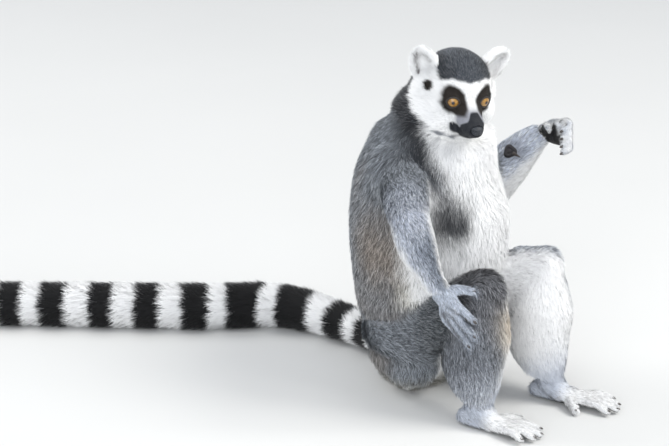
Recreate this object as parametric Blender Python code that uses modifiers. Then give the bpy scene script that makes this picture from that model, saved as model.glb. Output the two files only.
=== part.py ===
"""Ring-tailed lemur sitting upright, life size: the outline of the coat as closed solids, one per body part.

The animal faces -Y with its left side on +X. Z is up and the origin is the middle of the rump's flat on the
ground. Each group (core, tail, legs, arms) is shaped from rounded masses, fused, thinned, and then parted at the
joints by thin plane cuts, so neighbours meet with an even gap and never overlap.
"""
import math

import bmesh
import bpy
from mathutils import Matrix, Vector

MM = 0.001
GAP = 0.32 * MM            # clearance left between neighbouring parts
SIDES = 28                 # facets round a lofted limb
CAP_ANGLES = (1.35, 1.0, 0.5)      # rings that round off a loft's end, radians
COLLECTION = "ring_tailed_lemur"

# ---- Joints of the skeleton, millimetres -------------------------------------------------------------------
SHOULDER = {"right": (-42, -15, 240), "left": (42, -18, 242)}
ELBOW = {"right": (-93, -71, 217), "left": (93, -8, 179)}
WRIST = {"right": (-76, -98, 142), "left": (122, -57, 245)}
HIP = {"right": (-38, -5, 60), "left": (38, -5, 60)}
KNEE = {"right": (-32, -114, 133), "left": (50, -122, 143)}
ANKLE = {"right": (-45, -122, 20), "left": (52, -131, 20)}
HEEL = {"right": (-51, -109, 10), "left": (48, -117, 10)}
TOES = {"right": (-31, -186, 5), "left": (74, -200, 5)}
KNEECAP = {"right": 23, "left": 17.5}                                # radius of the coat round each bent knee
FOREARM_FULL = {"right": 1.12, "left": 1.34}                       # fuller coat on the raised forearm
TOE_SPREAD = ((-11, 0.86), (-4, 0.97), (3, 1.0), (10, 0.93))       # (sideways, share of the foot's length)
FOREARM_LIFT = {"right": (-3, 3, 0), "left": (-1, 2, 3)}
TAIL_LINE = ((6, 40, 24), (13, 100, 21), (-2, 190, 22), (-66, 250, 23), (-142, 334, 22.5), (-212, 412, 21.5),
             (-258, 466, 20.5), (-291, 516, 20), (-306, 556, 19))
TAIL_RADII = (18, 18.5, 23, 24.5, 24, 23, 22, 21, 17)

# ---- Head: placed by its own axes (left, back, up), millimetres and degrees --------------------------------
HEAD_CENTRE = (4, -43, 308)
HEAD_TURN, HEAD_NOD, HEAD_TILT = -26.5, 9.0, 5.0
EYE_AT, EYE_RADIUS, EYE_SPLAY = (14.2, -24, 4.5), 8.4, 20.0
NOSE_AT, NOSE_RADII = (0, -57, -12.5), (6.2, 5.0, 5.0)
EAR_AT = {-1: (26.2, 5.8, 8.5), 1: (24.0, 1.5, 12.5)}              # by side: right, left
EAR_TURN, EAR_LEAN = {-1: 41.5, 1: 26.5}, {-1: 24, 1: 35}    # each ear swivels and leans on its own
EAR_HEIGHT, EAR_DEPTH, EAR_WALL = 42.0, 22.0, 4.6
EAR_WIDTH = {-1: 30.0, 1: 28.5}
EAR_TIP = 8.0                                                       # each ear tips forward

# ---- Coat finishes: base colour, roughness -----------------------------------------------------------------
FINISH = {
    "grey": ((0.235, 0.215, 0.20), 0.85), "pale_grey": ((0.42, 0.42, 0.43), 0.85),
    "white": ((0.82, 0.80, 0.77), 0.85), "black": ((0.02, 0.02, 0.022), 0.8),
    "amber": ((0.55, 0.20, 0.02), 0.12), "leather": ((0.012, 0.012, 0.015), 0.45),
}


def vec(point):
    """A point in metres from millimetres."""
    return Vector(point) * MM


def clear_scene():
    """Start from an empty file."""
    for thing in list(bpy.data.objects):
        bpy.data.objects.remove(thing, do_unlink=True)


def new_object(name, mesh):
    thing = bpy.data.objects.new(name, mesh)
    bpy.context.scene.collection.objects.link(thing)
    return thing


def apply_modifier(thing, kind, **settings):
    """Add one modifier, set it and bake it into the mesh."""
    modifier = thing.modifiers.new(kind.title(), kind)
    for key, value in settings.items():
        setattr(modifier, key, value)
    bpy.context.view_layer.objects.active = thing
    bpy.ops.object.modifier_apply(modifier=modifier.name)


def spline(stations, steps):
    """Catmull-Rom run through equal-length number rows."""
    rows = [list(map(float, row)) for row in stations]
    padded = [[2 * a - b for a, b in zip(rows[0], rows[1])]] + rows
    padded.append([2 * a - b for a, b in zip(rows[-1], rows[-2])])
    run = []
    for i in range(1, len(padded) - 2):
        p0, p1, p2, p3 = padded[i - 1:i + 3]
        for k in range(steps):
            t = k / steps
            run.append([0.5 * (2 * b + (c - a) * t + (2 * a - 5 * b + 4 * c - d) * t ** 2
                               + (3 * b - a - 3 * c + d) * t ** 3) for a, b, c, d in zip(p0, p1, p2, p3)])
    return run + [rows[-1]]


def loft(name, stations, across=(1, 0, 0), steps=5):
    """Closed round-ended body through stations of (x, y, z, half width across, half depth), millimetres."""
    run = spline(stations, steps)
    centres = [vec(row[:3]) for row in run]
    halves = [(max(row[3], 0.5) * MM, max(row[4], 0.5) * MM) for row in run]
    last = len(run) - 1
    tangents = [(centres[min(i + 1, last)] - centres[max(i - 1, 0)]).normalized() for i in range(last + 1)]

    rings = []
    for end, sign in ((0, -1), (-1, 1)):
        reach = min(halves[end])
        caps = [(centres[end] + tangents[end] * sign * reach * math.sin(a), math.cos(a))
                for a in CAP_ANGLES]
        rows = [(c, (halves[end][0] * s, halves[end][1] * s), tangents[end]) for c, s in caps]
        rings.append(rows if sign < 0 else rows[::-1])
    body = rings[0] + list(zip(centres, halves, tangents)) + rings[1]

    mesh = bmesh.new()
    loops = []
    for centre, (wide, deep), tangent in body:
        side = Vector(across) - tangent * tangent.dot(Vector(across))
        side.normalize()
        front = tangent.cross(side)
        loops.append([mesh.verts.new(centre + side * wide * math.cos(a) + front * deep * math.sin(a))
                      for a in (2 * math.pi * k / SIDES for k in range(SIDES))])
    for low, high in zip(loops, loops[1:]):
        for k in range(SIDES):
            mesh.faces.new((low[k], low[(k + 1) % SIDES], high[(k + 1) % SIDES], high[k]))
    mesh.faces.new(loops[0][::-1])
    mesh.faces.new(loops[-1])
    bmesh.ops.recalc_face_normals(mesh, faces=mesh.faces)
    data = bpy.data.meshes.new(name)
    mesh.to_mesh(data)
    mesh.free()
    return new_object(name, data)


def ball(name, centre, radii, turn=None, detail=24):
    """Ellipsoid; turn is a 3x3 matrix giving its own axes."""
    bpy.ops.mesh.primitive_uv_sphere_add(segments=detail, ring_count=detail // 2, radius=1.0)
    thing = bpy.context.active_object
    thing.name = name
    spin = (turn or Matrix.Identity(3)).to_4x4()
    size = Matrix.Diagonal((*[radius * MM for radius in radii], 1))
    thing.data.transform(Matrix.Translation(vec(centre)) @ spin @ size)
    return thing


def trim(thing, point, normal):
    """Cut off everything on the far side of a plane and close the cut with a flat face."""
    mesh = bmesh.new()
    mesh.from_mesh(thing.data)
    everything = mesh.verts[:] + mesh.edges[:] + mesh.faces[:]
    bmesh.ops.bisect_plane(mesh, geom=everything, dist=1e-6, plane_co=point, plane_no=normal,
                           clear_outer=True)
    rim = [edge for edge in mesh.edges if edge.is_boundary]
    bmesh.ops.holes_fill(mesh, edges=rim, sides=0)
    bmesh.ops.recalc_face_normals(mesh, faces=mesh.faces)
    mesh.to_mesh(thing.data)
    mesh.free()


def join(name, things):
    bpy.ops.object.select_all(action="DESELECT")
    for thing in things:
        thing.select_set(True)
    bpy.context.view_layer.objects.active = things[0]
    bpy.ops.object.join()
    things[0].name = name
    return things[0]


def fuse(name, things, voxel, smoothing, facets):
    """Melt rounded masses into one skin-tight body and thin it to about a facet count."""
    body = join(name, things)
    apply_modifier(body, "REMESH", mode="VOXEL", voxel_size=voxel * MM)
    if smoothing:
        apply_modifier(body, "SMOOTH", factor=0.5, iterations=smoothing)
    thin(body, facets)
    return body


def thin(body, facets):
    """Collapse a mesh to about a number of triangles."""
    count = sum(len(face.vertices) - 2 for face in body.data.polygons)
    apply_modifier(body, "DECIMATE", ratio=min(1.0, facets / count), use_collapse_triangulate=True)


def copy_of(thing, name, swell=0.0):
    """Duplicate, grown outward along its normals by a distance."""
    twin = new_object(name, thing.data.copy())
    if swell:
        normals = [vertex.normal.copy() for vertex in twin.data.vertices]
        for vertex, normal in zip(twin.data.vertices, normals):
            vertex.co += normal * swell
    return twin


def boolean(thing, other, operation="DIFFERENCE", keep=False):
    apply_modifier(thing, "BOOLEAN", operation=operation, object=other, solver="EXACT", use_self=False)
    if not keep:
        bpy.data.objects.remove(other, do_unlink=True)


def clear_of(thing, neighbours):
    """Trim a part back so it stands just clear of its neighbours."""
    for other in neighbours:
        boolean(thing, copy_of(other, "cutter", GAP))


def rest_on_ground(thing):
    """Level the part's underside to its small flat on the ground."""
    trim(thing, Vector((0, 0, 0)), (0, 0, -1))


def largest_piece(thing):
    """Drop crumbs left by a cut."""
    mesh = bmesh.new()
    mesh.from_mesh(thing.data)
    unseen, groups = set(mesh.verts), []
    while unseen:
        stack, group = [unseen.pop()], []
        while stack:
            vertex = stack.pop()
            group.append(vertex)
            for edge in vertex.link_edges:
                other = edge.other_vert(vertex)
                if other in unseen:
                    unseen.discard(other)
                    stack.append(other)
        groups.append(group)
    groups.sort(key=len)
    for group in groups[:-1]:
        bmesh.ops.delete(mesh, geom=group, context="VERTS")
    mesh.to_mesh(thing.data)
    mesh.free()


def part_at(thing, cuts, names):
    """Part one body into a chain of named pieces at planes given as (point, normal toward the next piece)."""
    pieces, rest = [], thing
    for (point, normal), name in zip(cuts, names):
        side = Vector(normal).normalized()
        near, far = copy_of(rest, name), copy_of(rest, "rest")
        trim(near, point - side * GAP / 2, side)
        trim(far, point + side * GAP / 2, -side)
        bpy.data.objects.remove(rest, do_unlink=True)
        pieces.append(near)
        rest = far
    rest.name = names[-1]
    return pieces + [rest]


def part_faces(near, far, point, normal):
    """Trim two overlapping bodies to the two sides of one plane."""
    side = Vector(normal).normalized()
    trim(near, point - side * GAP / 2, side)
    trim(far, point + side * GAP / 2, -side)


def bisector(before, joint, after):
    """Plane through a joint that halves the bend between two bones."""
    before, joint, after = vec(before), vec(joint), vec(after)
    return joint, ((joint - before).normalized() + (after - joint).normalized()).normalized()


# ---- Head, neck and trunk ----------------------------------------------------------------------------------
HEAD_AXES = (Matrix.Rotation(math.radians(HEAD_TURN), 3, "Z")
             @ Matrix.Rotation(math.radians(HEAD_NOD), 3, "X")
             @ Matrix.Rotation(math.radians(HEAD_TILT), 3, "Y"))


def on_head(point):
    """Head's own (left, back, up) millimetres to world millimetres."""
    return HEAD_AXES @ Vector(point) + Vector(HEAD_CENTRE)


def head_ball(name, centre, radii, spin=None):
    return ball(name, on_head(centre), radii, HEAD_AXES @ (spin or Matrix.Identity(3)))


def build_head():
    """Broad short-furred skull, full cheeks and a fox-like muzzle, with a stub of neck."""
    parts = [head_ball("cranium", (0, 5, 9), (33, 38, 32)),
             head_ball("brow", (0, -13, 14), (25, 18, 17)),
             head_ball("throat", (0, 6, -18), (28, 28, 20))]
    for side in (1, -1):
        parts.append(head_ball("cheek", (side * 21, -2, -12), (17, 25, 18)))
        parts.append(head_ball("ruff", (side * 28, 12, -5), (15.5, 20, 26.5)))
        parts.append(head_ball("orbit", (side * 15, -18, 5), (12, 11, 12)))
    muzzle = [(*on_head((0, -12, -4)), 21, 20), (*on_head((0, -27, -6)), 15.5, 15.5),
              (*on_head((0, -40, -10.5)), 12, 12), (*on_head((0, -49, -12.5)), 10.5, 10.5),
              (*on_head((0, -53, -13)), 8.5, 8.5)]
    jaw = [(*on_head((0, -4, -22)), 19, 11), (*on_head((0, -26, -21)), 13, 9),
           (*on_head((0, -45, -19.5)), 9, 6.5)]
    parts += [loft("muzzle", muzzle, HEAD_AXES @ Vector((1, 0, 0))),
              loft("jaw", jaw, HEAD_AXES @ Vector((1, 0, 0)))]
    stub = [(*on_head((0, 12, -4)), 33, 32), (0, -26, 284, 42, 48), (0, -23, 262, 53, 60)]
    parts.append(loft("nape", stub))
    return fuse("head", parts, 1.5, 4, 1180)


def build_trunk():
    """Plump hunched trunk standing on the rump: (height, centre back, half width, half depth)."""
    stations = [(8, 2, 33, 34), (30, 1, 47, 47), (60, -3, 59, 59), (90, -7, 69, 70), (130, -12, 74, 80),
                (170, -13, 74, 85), (205, -13, 67, 84), (235, -17, 59, 74), (260, -23, 52, 62),
                (284, -26, 42, 48), (300, -29, 34, 40)]
    parts = [loft("barrel", [(0, y, z, wide, deep) for z, y, wide, deep in stations])]
    for side, name in ((-1, "right"), (1, "left")):
        x, y, z = SHOULDER[name]
        parts.append(ball("shoulder", (x + side * 3, y, z - 7), (30, 32, 34)))
        parts.append(ball("haunch", (side * 34, -6, 52), (32, 35, 42)))
        parts.append(ball("seat", (side * 34, -22, 42), (31, 34, 38)))
    return fuse("trunk", parts, 2.5, 6, 840)


def build_eye(side, name):
    axes = HEAD_AXES @ Matrix.Rotation(math.radians(side * EYE_SPLAY), 3, "Z")
    centre = on_head((side * EYE_AT[0], EYE_AT[1], EYE_AT[2]))
    return ball(name, centre, (EYE_RADIUS,) * 3, axes @ Matrix.Rotation(math.radians(90), 3, "X"), detail=12)


def build_ear(side, name):
    """Upright rounded ear, cupped toward the front and outside."""
    turn, lean, width = side * EAR_TURN[side], side * EAR_LEAN[side], EAR_WIDTH[side]
    axes = (HEAD_AXES @ Matrix.Rotation(math.radians(turn), 3, "Z")
            @ Matrix.Rotation(math.radians(lean), 3, "Y") @ Matrix.Rotation(math.radians(EAR_TIP), 3, "X"))
    across, back, up = EAR_AT[side]
    middle = on_head((side * across, back, up)) + axes @ Vector((0, 0, EAR_HEIGHT * 0.36))
    shell = ball(name, middle, (width / 2, EAR_DEPTH / 2, EAR_HEIGHT / 2), axes, detail=16)
    trim(shell, (middle + axes @ Vector((0, -EAR_DEPTH * 0.16, 0))) * MM, axes @ Vector((0, -1, 0)))
    bowl = ball("bowl", middle + axes @ Vector((0, -EAR_WALL * 1.6, 1.0)),
                (width / 2 - EAR_WALL, EAR_DEPTH / 2, EAR_HEIGHT / 2 - EAR_WALL), axes, detail=14)
    boolean(shell, bowl)
    return shell


# ---- Tail, limbs -------------------------------------------------------------------------------------------
def build_tail():
    stations = [(*point, radius, radius) for point, radius in zip(TAIL_LINE, TAIL_RADII)]
    tail = loft("tail", stations, across=(0.8, 0.6, 0), steps=5)
    thin(tail, 500)
    return tail


def along(start, end, t, lift=(0, 0, 0)):
    return tuple(a + (b - a) * t + c for a, b, c in zip(start, end, lift))


def build_leg(name):
    hip, knee, ankle, cap = HIP[name], KNEE[name], ANKLE[name], KNEECAP[name]
    inward = 1 if name == "right" else -1
    thigh = [(*along(hip, knee, 0.0), 34, 40), (*along(hip, knee, 0.35), 33, 38),
             (*along(hip, knee, 0.7), 28, 33), (*knee, cap, cap + 1)]
    shank = [(*knee, cap, cap + 1), (*along(knee, ankle, 0.3, (inward * 2, 10, 0)), 30, 38),
             (*along(knee, ankle, 0.6, (inward * 3, 12, 0)), 28, 37),
             (*along(knee, ankle, 0.85, (inward * 2, 6, 0)), 20.5, 28), (*ankle, 14.5, 16)]
    return fuse("leg_" + name, [loft("thigh", thigh), loft("shank", shank)], 2.5, 5, 520)


def digit(name, joints, root, tip, across=(1, 0, 0)):
    """One finger or toe: a thin tapering run through its joints."""
    count = len(joints) - 1
    return loft(name, [(*point, root + (tip - root) * i / count, root + (tip - root) * i / count)
                       for i, point in enumerate(joints)], across, steps=3)


def build_foot(name):
    """Long narrow foot flat on the ground, four toes forward and the big toe set wide on the inner side."""
    side = 1 if name == "right" else -1
    heel, toes, ankle = Vector(HEEL[name]), Vector(TOES[name]), Vector(ANKLE[name])
    run = toes - heel
    inner = Vector((side, 0, 0)) - run.normalized() * run.normalized().x * side
    sole = [(*(heel + Vector((0, 0, -1))), 8, 8.5), (*(heel + run * 0.25), 9.5, 9.5),
            (*(heel + run * 0.45), 11, 8.5), (*(heel + run * 0.58 + Vector((0, 0, 1))), 12, 6.5)]
    instep = [(*ankle, 14, 15), (*(ankle + Vector((0, -15, -9))), 11, 9)]
    parts = [loft("sole", sole), loft("instep", instep)]
    for spread, reach in TOE_SPREAD:
        offset = inner * spread
        root = heel + run * 0.5 + offset * 0.6
        end = heel + run * reach + offset * 1.5
        middle = root.lerp(end, 0.6) + Vector((0, 0, 3.5))
        parts.append(digit("toe", [root, middle, end], 4.6, 3.3))
    root = heel + run * 0.38 + inner * 6
    parts.append(digit("big_toe", [root, root + run * 0.12 + inner * 10 + Vector((0, 0, 1)),
                                   root + run * 0.22 + inner * 21 + Vector((0, 0, -2))], 5.6, 4.0))
    return fuse("foot_" + name, parts, 1.2, 2, 460)


def build_arm(name):
    shoulder, elbow, wrist = SHOULDER[name], ELBOW[name], WRIST[name]
    full, lift = FOREARM_FULL[name], FOREARM_LIFT[name]
    upper = [(*along(shoulder, elbow, 0.0), 22, 22), (*along(shoulder, elbow, 0.5), 23, 25),
             (*elbow, 17 * full, 18 * full)]
    lower = [(*elbow, 17 * full, 18 * full), (*along(elbow, wrist, 0.4, lift), 17 * full, 17.5 * full),
             (*along(elbow, wrist, 0.8, lift), 12 * full, 12.5 * full), (*wrist, 10.5, 11)]
    parts = [loft("upper", upper, (0, 0, 1)), loft("lower", lower, (0, 1, 0))]
    return fuse("arm_" + name, parts, 2.2, 5, 400)


def build_right_hand():
    """Laid over the outside of the knee, back of the hand outward, fingers slightly spread."""
    wrist = Vector(WRIST["right"])
    palm = [(*wrist, 8, 10.5), (-71, -105, 131, 7, 11), (-70, -108, 125, 6, 11)]
    parts = [loft("palm", palm)]
    fingers = (((-68, -110, 132), (-64, -119, 123), (-60, -127, 115)),
               ((-70, -108, 125), (-65, -118, 111), (-59, -126, 100)),
               ((-72, -105, 118), (-67, -114, 103), (-62, -122, 90)),
               ((-74, -102, 116), (-69.5, -108, 106), (-65, -115, 97)))
    for joints in fingers:
        parts.append(digit("finger", [wrist.lerp(Vector(joints[0]), 0.5), *joints], 3.7, 2.9))
    parts.append(digit("thumb", [(-72, -101, 144), (-63, -111, 144), (-55, -119, 142)], 4.6, 3.4))
    return fuse("hand_right", parts, 1.1, 2, 560)


def build_left_hand():
    """Hanging limp from a bent wrist, palm turned back toward the elbow and fingers curled under."""
    wrist = Vector(WRIST["left"])
    outward, up, near = Vector((0.707, -0.707, 0)), Vector((0.24, 0.24, 0.94)), Vector((-0.66, -0.66, 0.34))
    palm = [(*wrist, 9, 10), (*(wrist + outward * 7 + up * 1 + near * 6), 12, 8),
            (*(wrist + outward * 12 + near * 17), 13, 7)]
    parts = [loft("palm", palm, up)]
    for spread in (9.5, 3, -3.5, -9.5):
        knuckle = wrist + outward * 13 + near * 17 + up * spread
        middle = knuckle + outward * 7 + near * 12 + up * (spread * 0.15 - 1)
        end = middle + outward * 1 + near * 7 - up * 6
        tip = end - outward * 7 - near * 1 - up * 3
        heel = wrist + outward * 6 + near * 8 + up * spread * 0.6
        parts.append(digit("finger", [heel, knuckle, middle, end, tip], 3.8, 2.9, up))
    root = wrist + outward * 2 + near * 5 + up * 4
    parts.append(digit("thumb", [root, root + near * 11 - outward * 3 + up * 2,
                                 root + near * 20 - outward * 2 - up * 3], 4.4, 3.2, up))
    return fuse("hand_left", parts, 1.1, 2, 560)


# ---- Assembly ----------------------------------------------------------------------------------------------
def finish(thing, key):
    colour, roughness = FINISH[key]
    material = bpy.data.materials.new(thing.name + "_coat")
    material.use_nodes = True
    shader = material.node_tree.nodes["Principled BSDF"]
    shader.inputs["Base Color"].default_value = (*colour, 1)
    shader.inputs["Roughness"].default_value = roughness
    shader.inputs["Metallic"].default_value = 0.0
    thing.data.materials.clear()
    thing.data.materials.append(material)


def main():
    clear_scene()
    named = {}

    trunk, head, tail = build_trunk(), build_head(), build_tail()
    neck_top = (vec((2, -22, 281)), Vector((0.05, -0.22, 1)))
    neck_foot = (vec((0, -18, 262)), Vector((0, -0.15, 1)))
    part_faces(trunk, head, *neck_top)
    rest_on_ground(trunk)
    rest_on_ground(tail)
    clear_of(tail, [trunk])

    eyes = {"eye_right": build_eye(-1, "eye_right"), "eye_left": build_eye(1, "eye_left")}
    nose = head_ball("nose", NOSE_AT, NOSE_RADII)
    thin(nose, 110)
    ears = {"ear_right": build_ear(-1, "ear_right"), "ear_left": build_ear(1, "ear_left")}
    clear_of(head, [*eyes.values(), nose])
    for ear in ears.values():
        clear_of(ear, [head])
    named.update(head=head, nose=nose, **eyes, **ears)

    legs, feet, arms = {}, {}, {}
    for name in ("right", "left"):
        foot, leg = build_foot(name), build_leg(name)
        rest_on_ground(foot)
        part_faces(leg, foot, vec(ANKLE[name]) + Vector((0, 0, 6 * MM)), Vector((0, 0.2, -1)))
        legs[name], feet[name] = leg, foot
    clear_of(legs["right"], [trunk])
    clear_of(legs["left"], [trunk, legs["right"]])
    clear_of(feet["right"], [legs["left"]])

    hands = {"right": build_right_hand(), "left": build_left_hand()}
    for name in ("right", "left"):
        arm, hand = build_arm(name), hands[name]
        reach = (vec(WRIST[name]) - vec(ELBOW[name])).normalized()
        part_faces(arm, hand, vec(WRIST[name]) - reach * 3 * MM, reach)
        arms[name] = arm
    clear_of(arms["right"], [trunk, head, legs["right"]])
    clear_of(arms["left"], [trunk, head])
    clear_of(hands["right"], [legs["right"]])

    named["chest"] = trunk
    for name in ("right", "left"):
        knee = bisector(HIP[name], KNEE[name], ANKLE[name])
        elbow = bisector(SHOULDER[name], ELBOW[name], WRIST[name])
        thigh, shank = part_at(legs[name], [knee], ["thigh_" + name, "shank_" + name])
        upper, fore = part_at(arms[name], [elbow], ["upper_arm_" + name, "forearm_" + name])
        for piece in (thigh, shank, upper, fore):
            named[piece.name] = piece
        named["foot_" + name], named["hand_" + name] = feet[name], hands[name]

    belly, chest, neck = part_at(named.pop("chest"), [(vec((0, -15, 128)), Vector((0, 0, 1))), neck_foot],
                                 ["belly", "chest", "neck"])
    named.update(belly=belly, chest=chest, neck=neck)
    cuts = []
    for low, high in ((1, 2), (2, 3), (3, 4), (4, 5), (5, 6)):
        a, b = vec(TAIL_LINE[low]), vec(TAIL_LINE[high])
        cuts.append(((a + b) / 2, (b - a).normalized()))
    for piece in part_at(tail, cuts, ["tail_%d" % k for k in range(1, 7)]):
        named[piece.name] = piece

    coats = {"nose": "leather", "eye_right": "amber", "eye_left": "amber", "chest": "white", "neck": "grey",
             "head": "white", "ear_right": "white", "ear_left": "white"}
    home = bpy.data.collections.new(COLLECTION)
    bpy.context.scene.collection.children.link(home)
    for name, thing in named.items():
        largest_piece(thing)
        thing.name = name
        thing.data.name = name
        pale = name.startswith(("hand", "foot", "fore", "tail"))
        finish(thing, coats.get(name) or ("pale_grey" if pale else "grey"))
        for owner in list(thing.users_collection):
            owner.objects.unlink(thing)
        home.objects.link(thing)


if __name__ == "__main__":
    main()
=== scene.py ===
"""Ring-tailed lemur sitting upright, life size: skin, coat, eyes, nose and nails over its packed frame.

The animal faces -Y with its left side on +X. Every flesh node is replaced by one skin, sunk inside the nodes
by the depth of the coat, and the coat is made of thin solid tufts that rise from the skin and lie along the
body.
"""
import logging
import math
from dataclasses import dataclass, field
from enum import Enum
from functools import cached_property
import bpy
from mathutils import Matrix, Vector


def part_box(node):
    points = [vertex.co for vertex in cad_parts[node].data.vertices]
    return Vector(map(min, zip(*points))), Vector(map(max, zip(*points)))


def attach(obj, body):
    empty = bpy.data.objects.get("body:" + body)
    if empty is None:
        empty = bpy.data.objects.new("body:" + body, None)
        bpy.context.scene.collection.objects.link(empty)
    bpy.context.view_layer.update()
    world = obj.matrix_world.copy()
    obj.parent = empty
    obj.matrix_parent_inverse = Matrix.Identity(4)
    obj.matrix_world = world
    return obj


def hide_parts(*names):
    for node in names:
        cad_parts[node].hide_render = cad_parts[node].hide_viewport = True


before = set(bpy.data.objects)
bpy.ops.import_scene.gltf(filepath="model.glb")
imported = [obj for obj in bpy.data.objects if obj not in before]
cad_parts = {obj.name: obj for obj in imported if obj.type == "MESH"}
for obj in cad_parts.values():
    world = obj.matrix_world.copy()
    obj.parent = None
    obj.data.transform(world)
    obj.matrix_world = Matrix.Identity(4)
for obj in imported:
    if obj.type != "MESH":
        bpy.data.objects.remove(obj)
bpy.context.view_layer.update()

from types import SimpleNamespace

import bmesh
import bpy
import numpy as np
from mathutils import Matrix, Vector
from mathutils.bvhtree import BVHTree
from mathutils.kdtree import KDTree

LOG = logging.getLogger("lemur")
MM = 0.001
EYES = ("eye_right", "eye_left")
NOSE = "nose"
FLESH = [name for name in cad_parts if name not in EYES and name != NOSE]
TAIL = [name for name in FLESH if name.startswith("tail_")]
Array = np.ndarray
Colour = tuple[float, float, float]
Marks = tuple[Array, Array, Array]      # colour, how grizzled and how bare, one row or number a place

# Lines on one side of the head: aside, forward, up, mm in the head's axes
MOUTH = np.array([(0.0, 58.0, -20.6), (4.0, 56.0, -22.2), (8.0, 50.5, -23.8), (11.0, 43.5, -23.4),
                  (13.2, 37.0, -20.4), (14.6, 32.0, -15.9)])
FOLDS = (np.array([(37.0, 26.0, -26.5), (30.0, 31.6, -26.0), (22.4, 35.8, -26.2), (13.2, 39.2, -27.6)]),
         np.array([(27.4, 37.0, -34.5), (23.3, 41.0, -36.8), (18.0, 43.9, -38.6), (8.6, 47.0, -40.2)]),
         np.array([(31.0, 33.0, -31.0), (24.0, 39.0, -31.5), (15.0, 43.0, -33.5)]))
# The joints of the right hand's fingers and thumb, from knuckle to tip, mm
FINGERS = (((-68, -110, 132), (-64, -119, 123), (-60, -127, 115)),
           ((-70, -108, 125), (-65, -118, 111), (-59, -126, 100)),
           ((-72, -105, 118), (-67, -114, 103), (-62, -122, 90)),
           ((-74, -102, 116), (-69.5, -108, 106), (-65, -115, 97)))
THUMB = ((-72, -101, 144), (-63, -111, 144), (-55, -119, 142))
TRUNK_AXIS = ((0.0, 0.0), (130.0, -12.0), (205.0, -13.0), (284.0, -26.0), (300.0, -29.0))   # height and Y, mm
EYE_OPENING = (45.0, 38.0)      # half angles between the lids, across and up, degrees
EYE_SPLAY = 20.0                # how far the eyes look outward, degrees
GROUND = 0.3 * MM               # the lowest the skin reaches


class Side(Enum):
    """A side of the animal, with the sign of its X."""

    RIGHT = -1
    LEFT = 1

    @property
    def word(self) -> str:
        """The side as node names spell it."""
        return self.name.lower()


# ---- Small tools -----------------------------------------------------------------------------------------
def smooth_step(low: float, high: float, value: Array) -> Array:
    """A soft 0 to 1 step between two values.

    Args:
        low: where the step starts; it may be the larger of the two.
        high: where it ends.
        value: what is measured.

    Returns:
        The step for each value.
    """
    share = np.clip((value - low) / (high - low), 0.0, 1.0)
    return share * share * (3.0 - 2.0 * share)


def unit(vectors: Array) -> Array:
    """Vectors, one a row, at length one."""
    return vectors / np.maximum(np.linalg.norm(vectors, axis=-1, keepdims=True), 1e-9)


def mix(one: Array, other: Array, share: Array) -> Array:
    """Rows of one turned into rows of other by a share for each row."""
    return one + (other - one) * np.asarray(share)[..., None]


def row(vector: Vector) -> Array:
    """A mathutils vector as an array."""
    return np.array(vector, dtype=float)


def mesh_points(mesh: bpy.types.Mesh) -> Array:
    """The vertices of a mesh, one a row."""
    flat = np.empty(len(mesh.vertices) * 3)
    mesh.vertices.foreach_get("co", flat)
    return flat.reshape(-1, 3)


def set_points(mesh: bpy.types.Mesh, points: Array) -> None:
    """Moves the vertices of a mesh to new places."""
    mesh.vertices.foreach_set("co", np.ascontiguousarray(points, dtype=np.float32).ravel())
    mesh.update()


def outline_distance(points: Array, outline: Array) -> Array:
    """Signed distance in a plane to a closed outline, negative inside.

    Args:
        points: places in the plane, one a row.
        outline: corners in order, one a row.

    Returns:
        One distance for each place.
    """
    nearest = np.full(len(points), np.inf)
    inside = np.zeros(len(points), dtype=bool)
    for start, end in zip(outline, np.roll(outline, -1, axis=0)):
        edge = end - start
        offset = points - start
        share = np.clip(offset @ edge / (edge @ edge), 0.0, 1.0)
        nearest = np.minimum(nearest, np.linalg.norm(offset - share[:, None] * edge, axis=1))
        crosses = (start[1] > points[:, 1]) != (end[1] > points[:, 1])
        reach = (points[:, 1] - start[1]) * edge[0] / (edge[1] if edge[1] else 1e-9) + start[0]
        inside ^= crosses & (points[:, 0] < reach)
    return np.where(inside, -nearest, nearest)


def path_distance(points: Array, path: Array) -> Array:
    """How far each place is from a line through the given corners."""
    nearest = np.full(len(points), np.inf)
    for start, end in zip(path, path[1:]):
        edge = end - start
        share = np.clip((points - start) @ edge / (edge @ edge), 0.0, 1.0)
        nearest = np.minimum(nearest, np.linalg.norm(points - start - share[:, None] * edge, axis=1))
    return nearest


def mirrored(local: Array) -> Array:
    """Places in the head's axes, with those on the right side moved to the left."""
    return np.column_stack([np.abs(local[:, 0]), local[:, 1:]])


def kind_of(name: str) -> str:
    """A node's kind: its name without side or number."""
    return name.rpartition("_")[0] or name


@dataclass(frozen=True)
class Mottle:
    """Smooth, repeatable noise over space, from -1 to 1."""

    cell: float
    seed: int = 0

    def _corner(self, lattice: Array) -> Array:
        """A repeatable value at each lattice corner."""
        mixed = lattice[:, 0] * 73856093 ^ lattice[:, 1] * 19349663 ^ lattice[:, 2] * 83492791
        mixed = (mixed ^ (self.seed * 2654435761)) & 0xFFFFFFFF
        mixed = (mixed ^ (mixed >> 15)) * 2246822519 & 0xFFFFFFFF
        mixed = (mixed ^ (mixed >> 13)) * 3266489917 & 0xFFFFFFFF
        return (mixed ^ (mixed >> 16)) / 0x7FFFFFFF - 1.0

    def at(self, points: Array) -> Array:
        """The noise at each place.

        Args:
            points: places, one a row.

        Returns:
            One value for each place.
        """
        scaled = points / self.cell
        base = np.floor(scaled).astype(np.int64)
        share = scaled - base
        share = share * share * (3.0 - 2.0 * share)
        total = np.zeros(len(points))
        for step in np.ndindex(2, 2, 2):
            weight = np.prod(np.where(step, share, 1.0 - share), axis=1)
            total += weight * self._corner(base + np.array(step))
        return total


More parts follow.
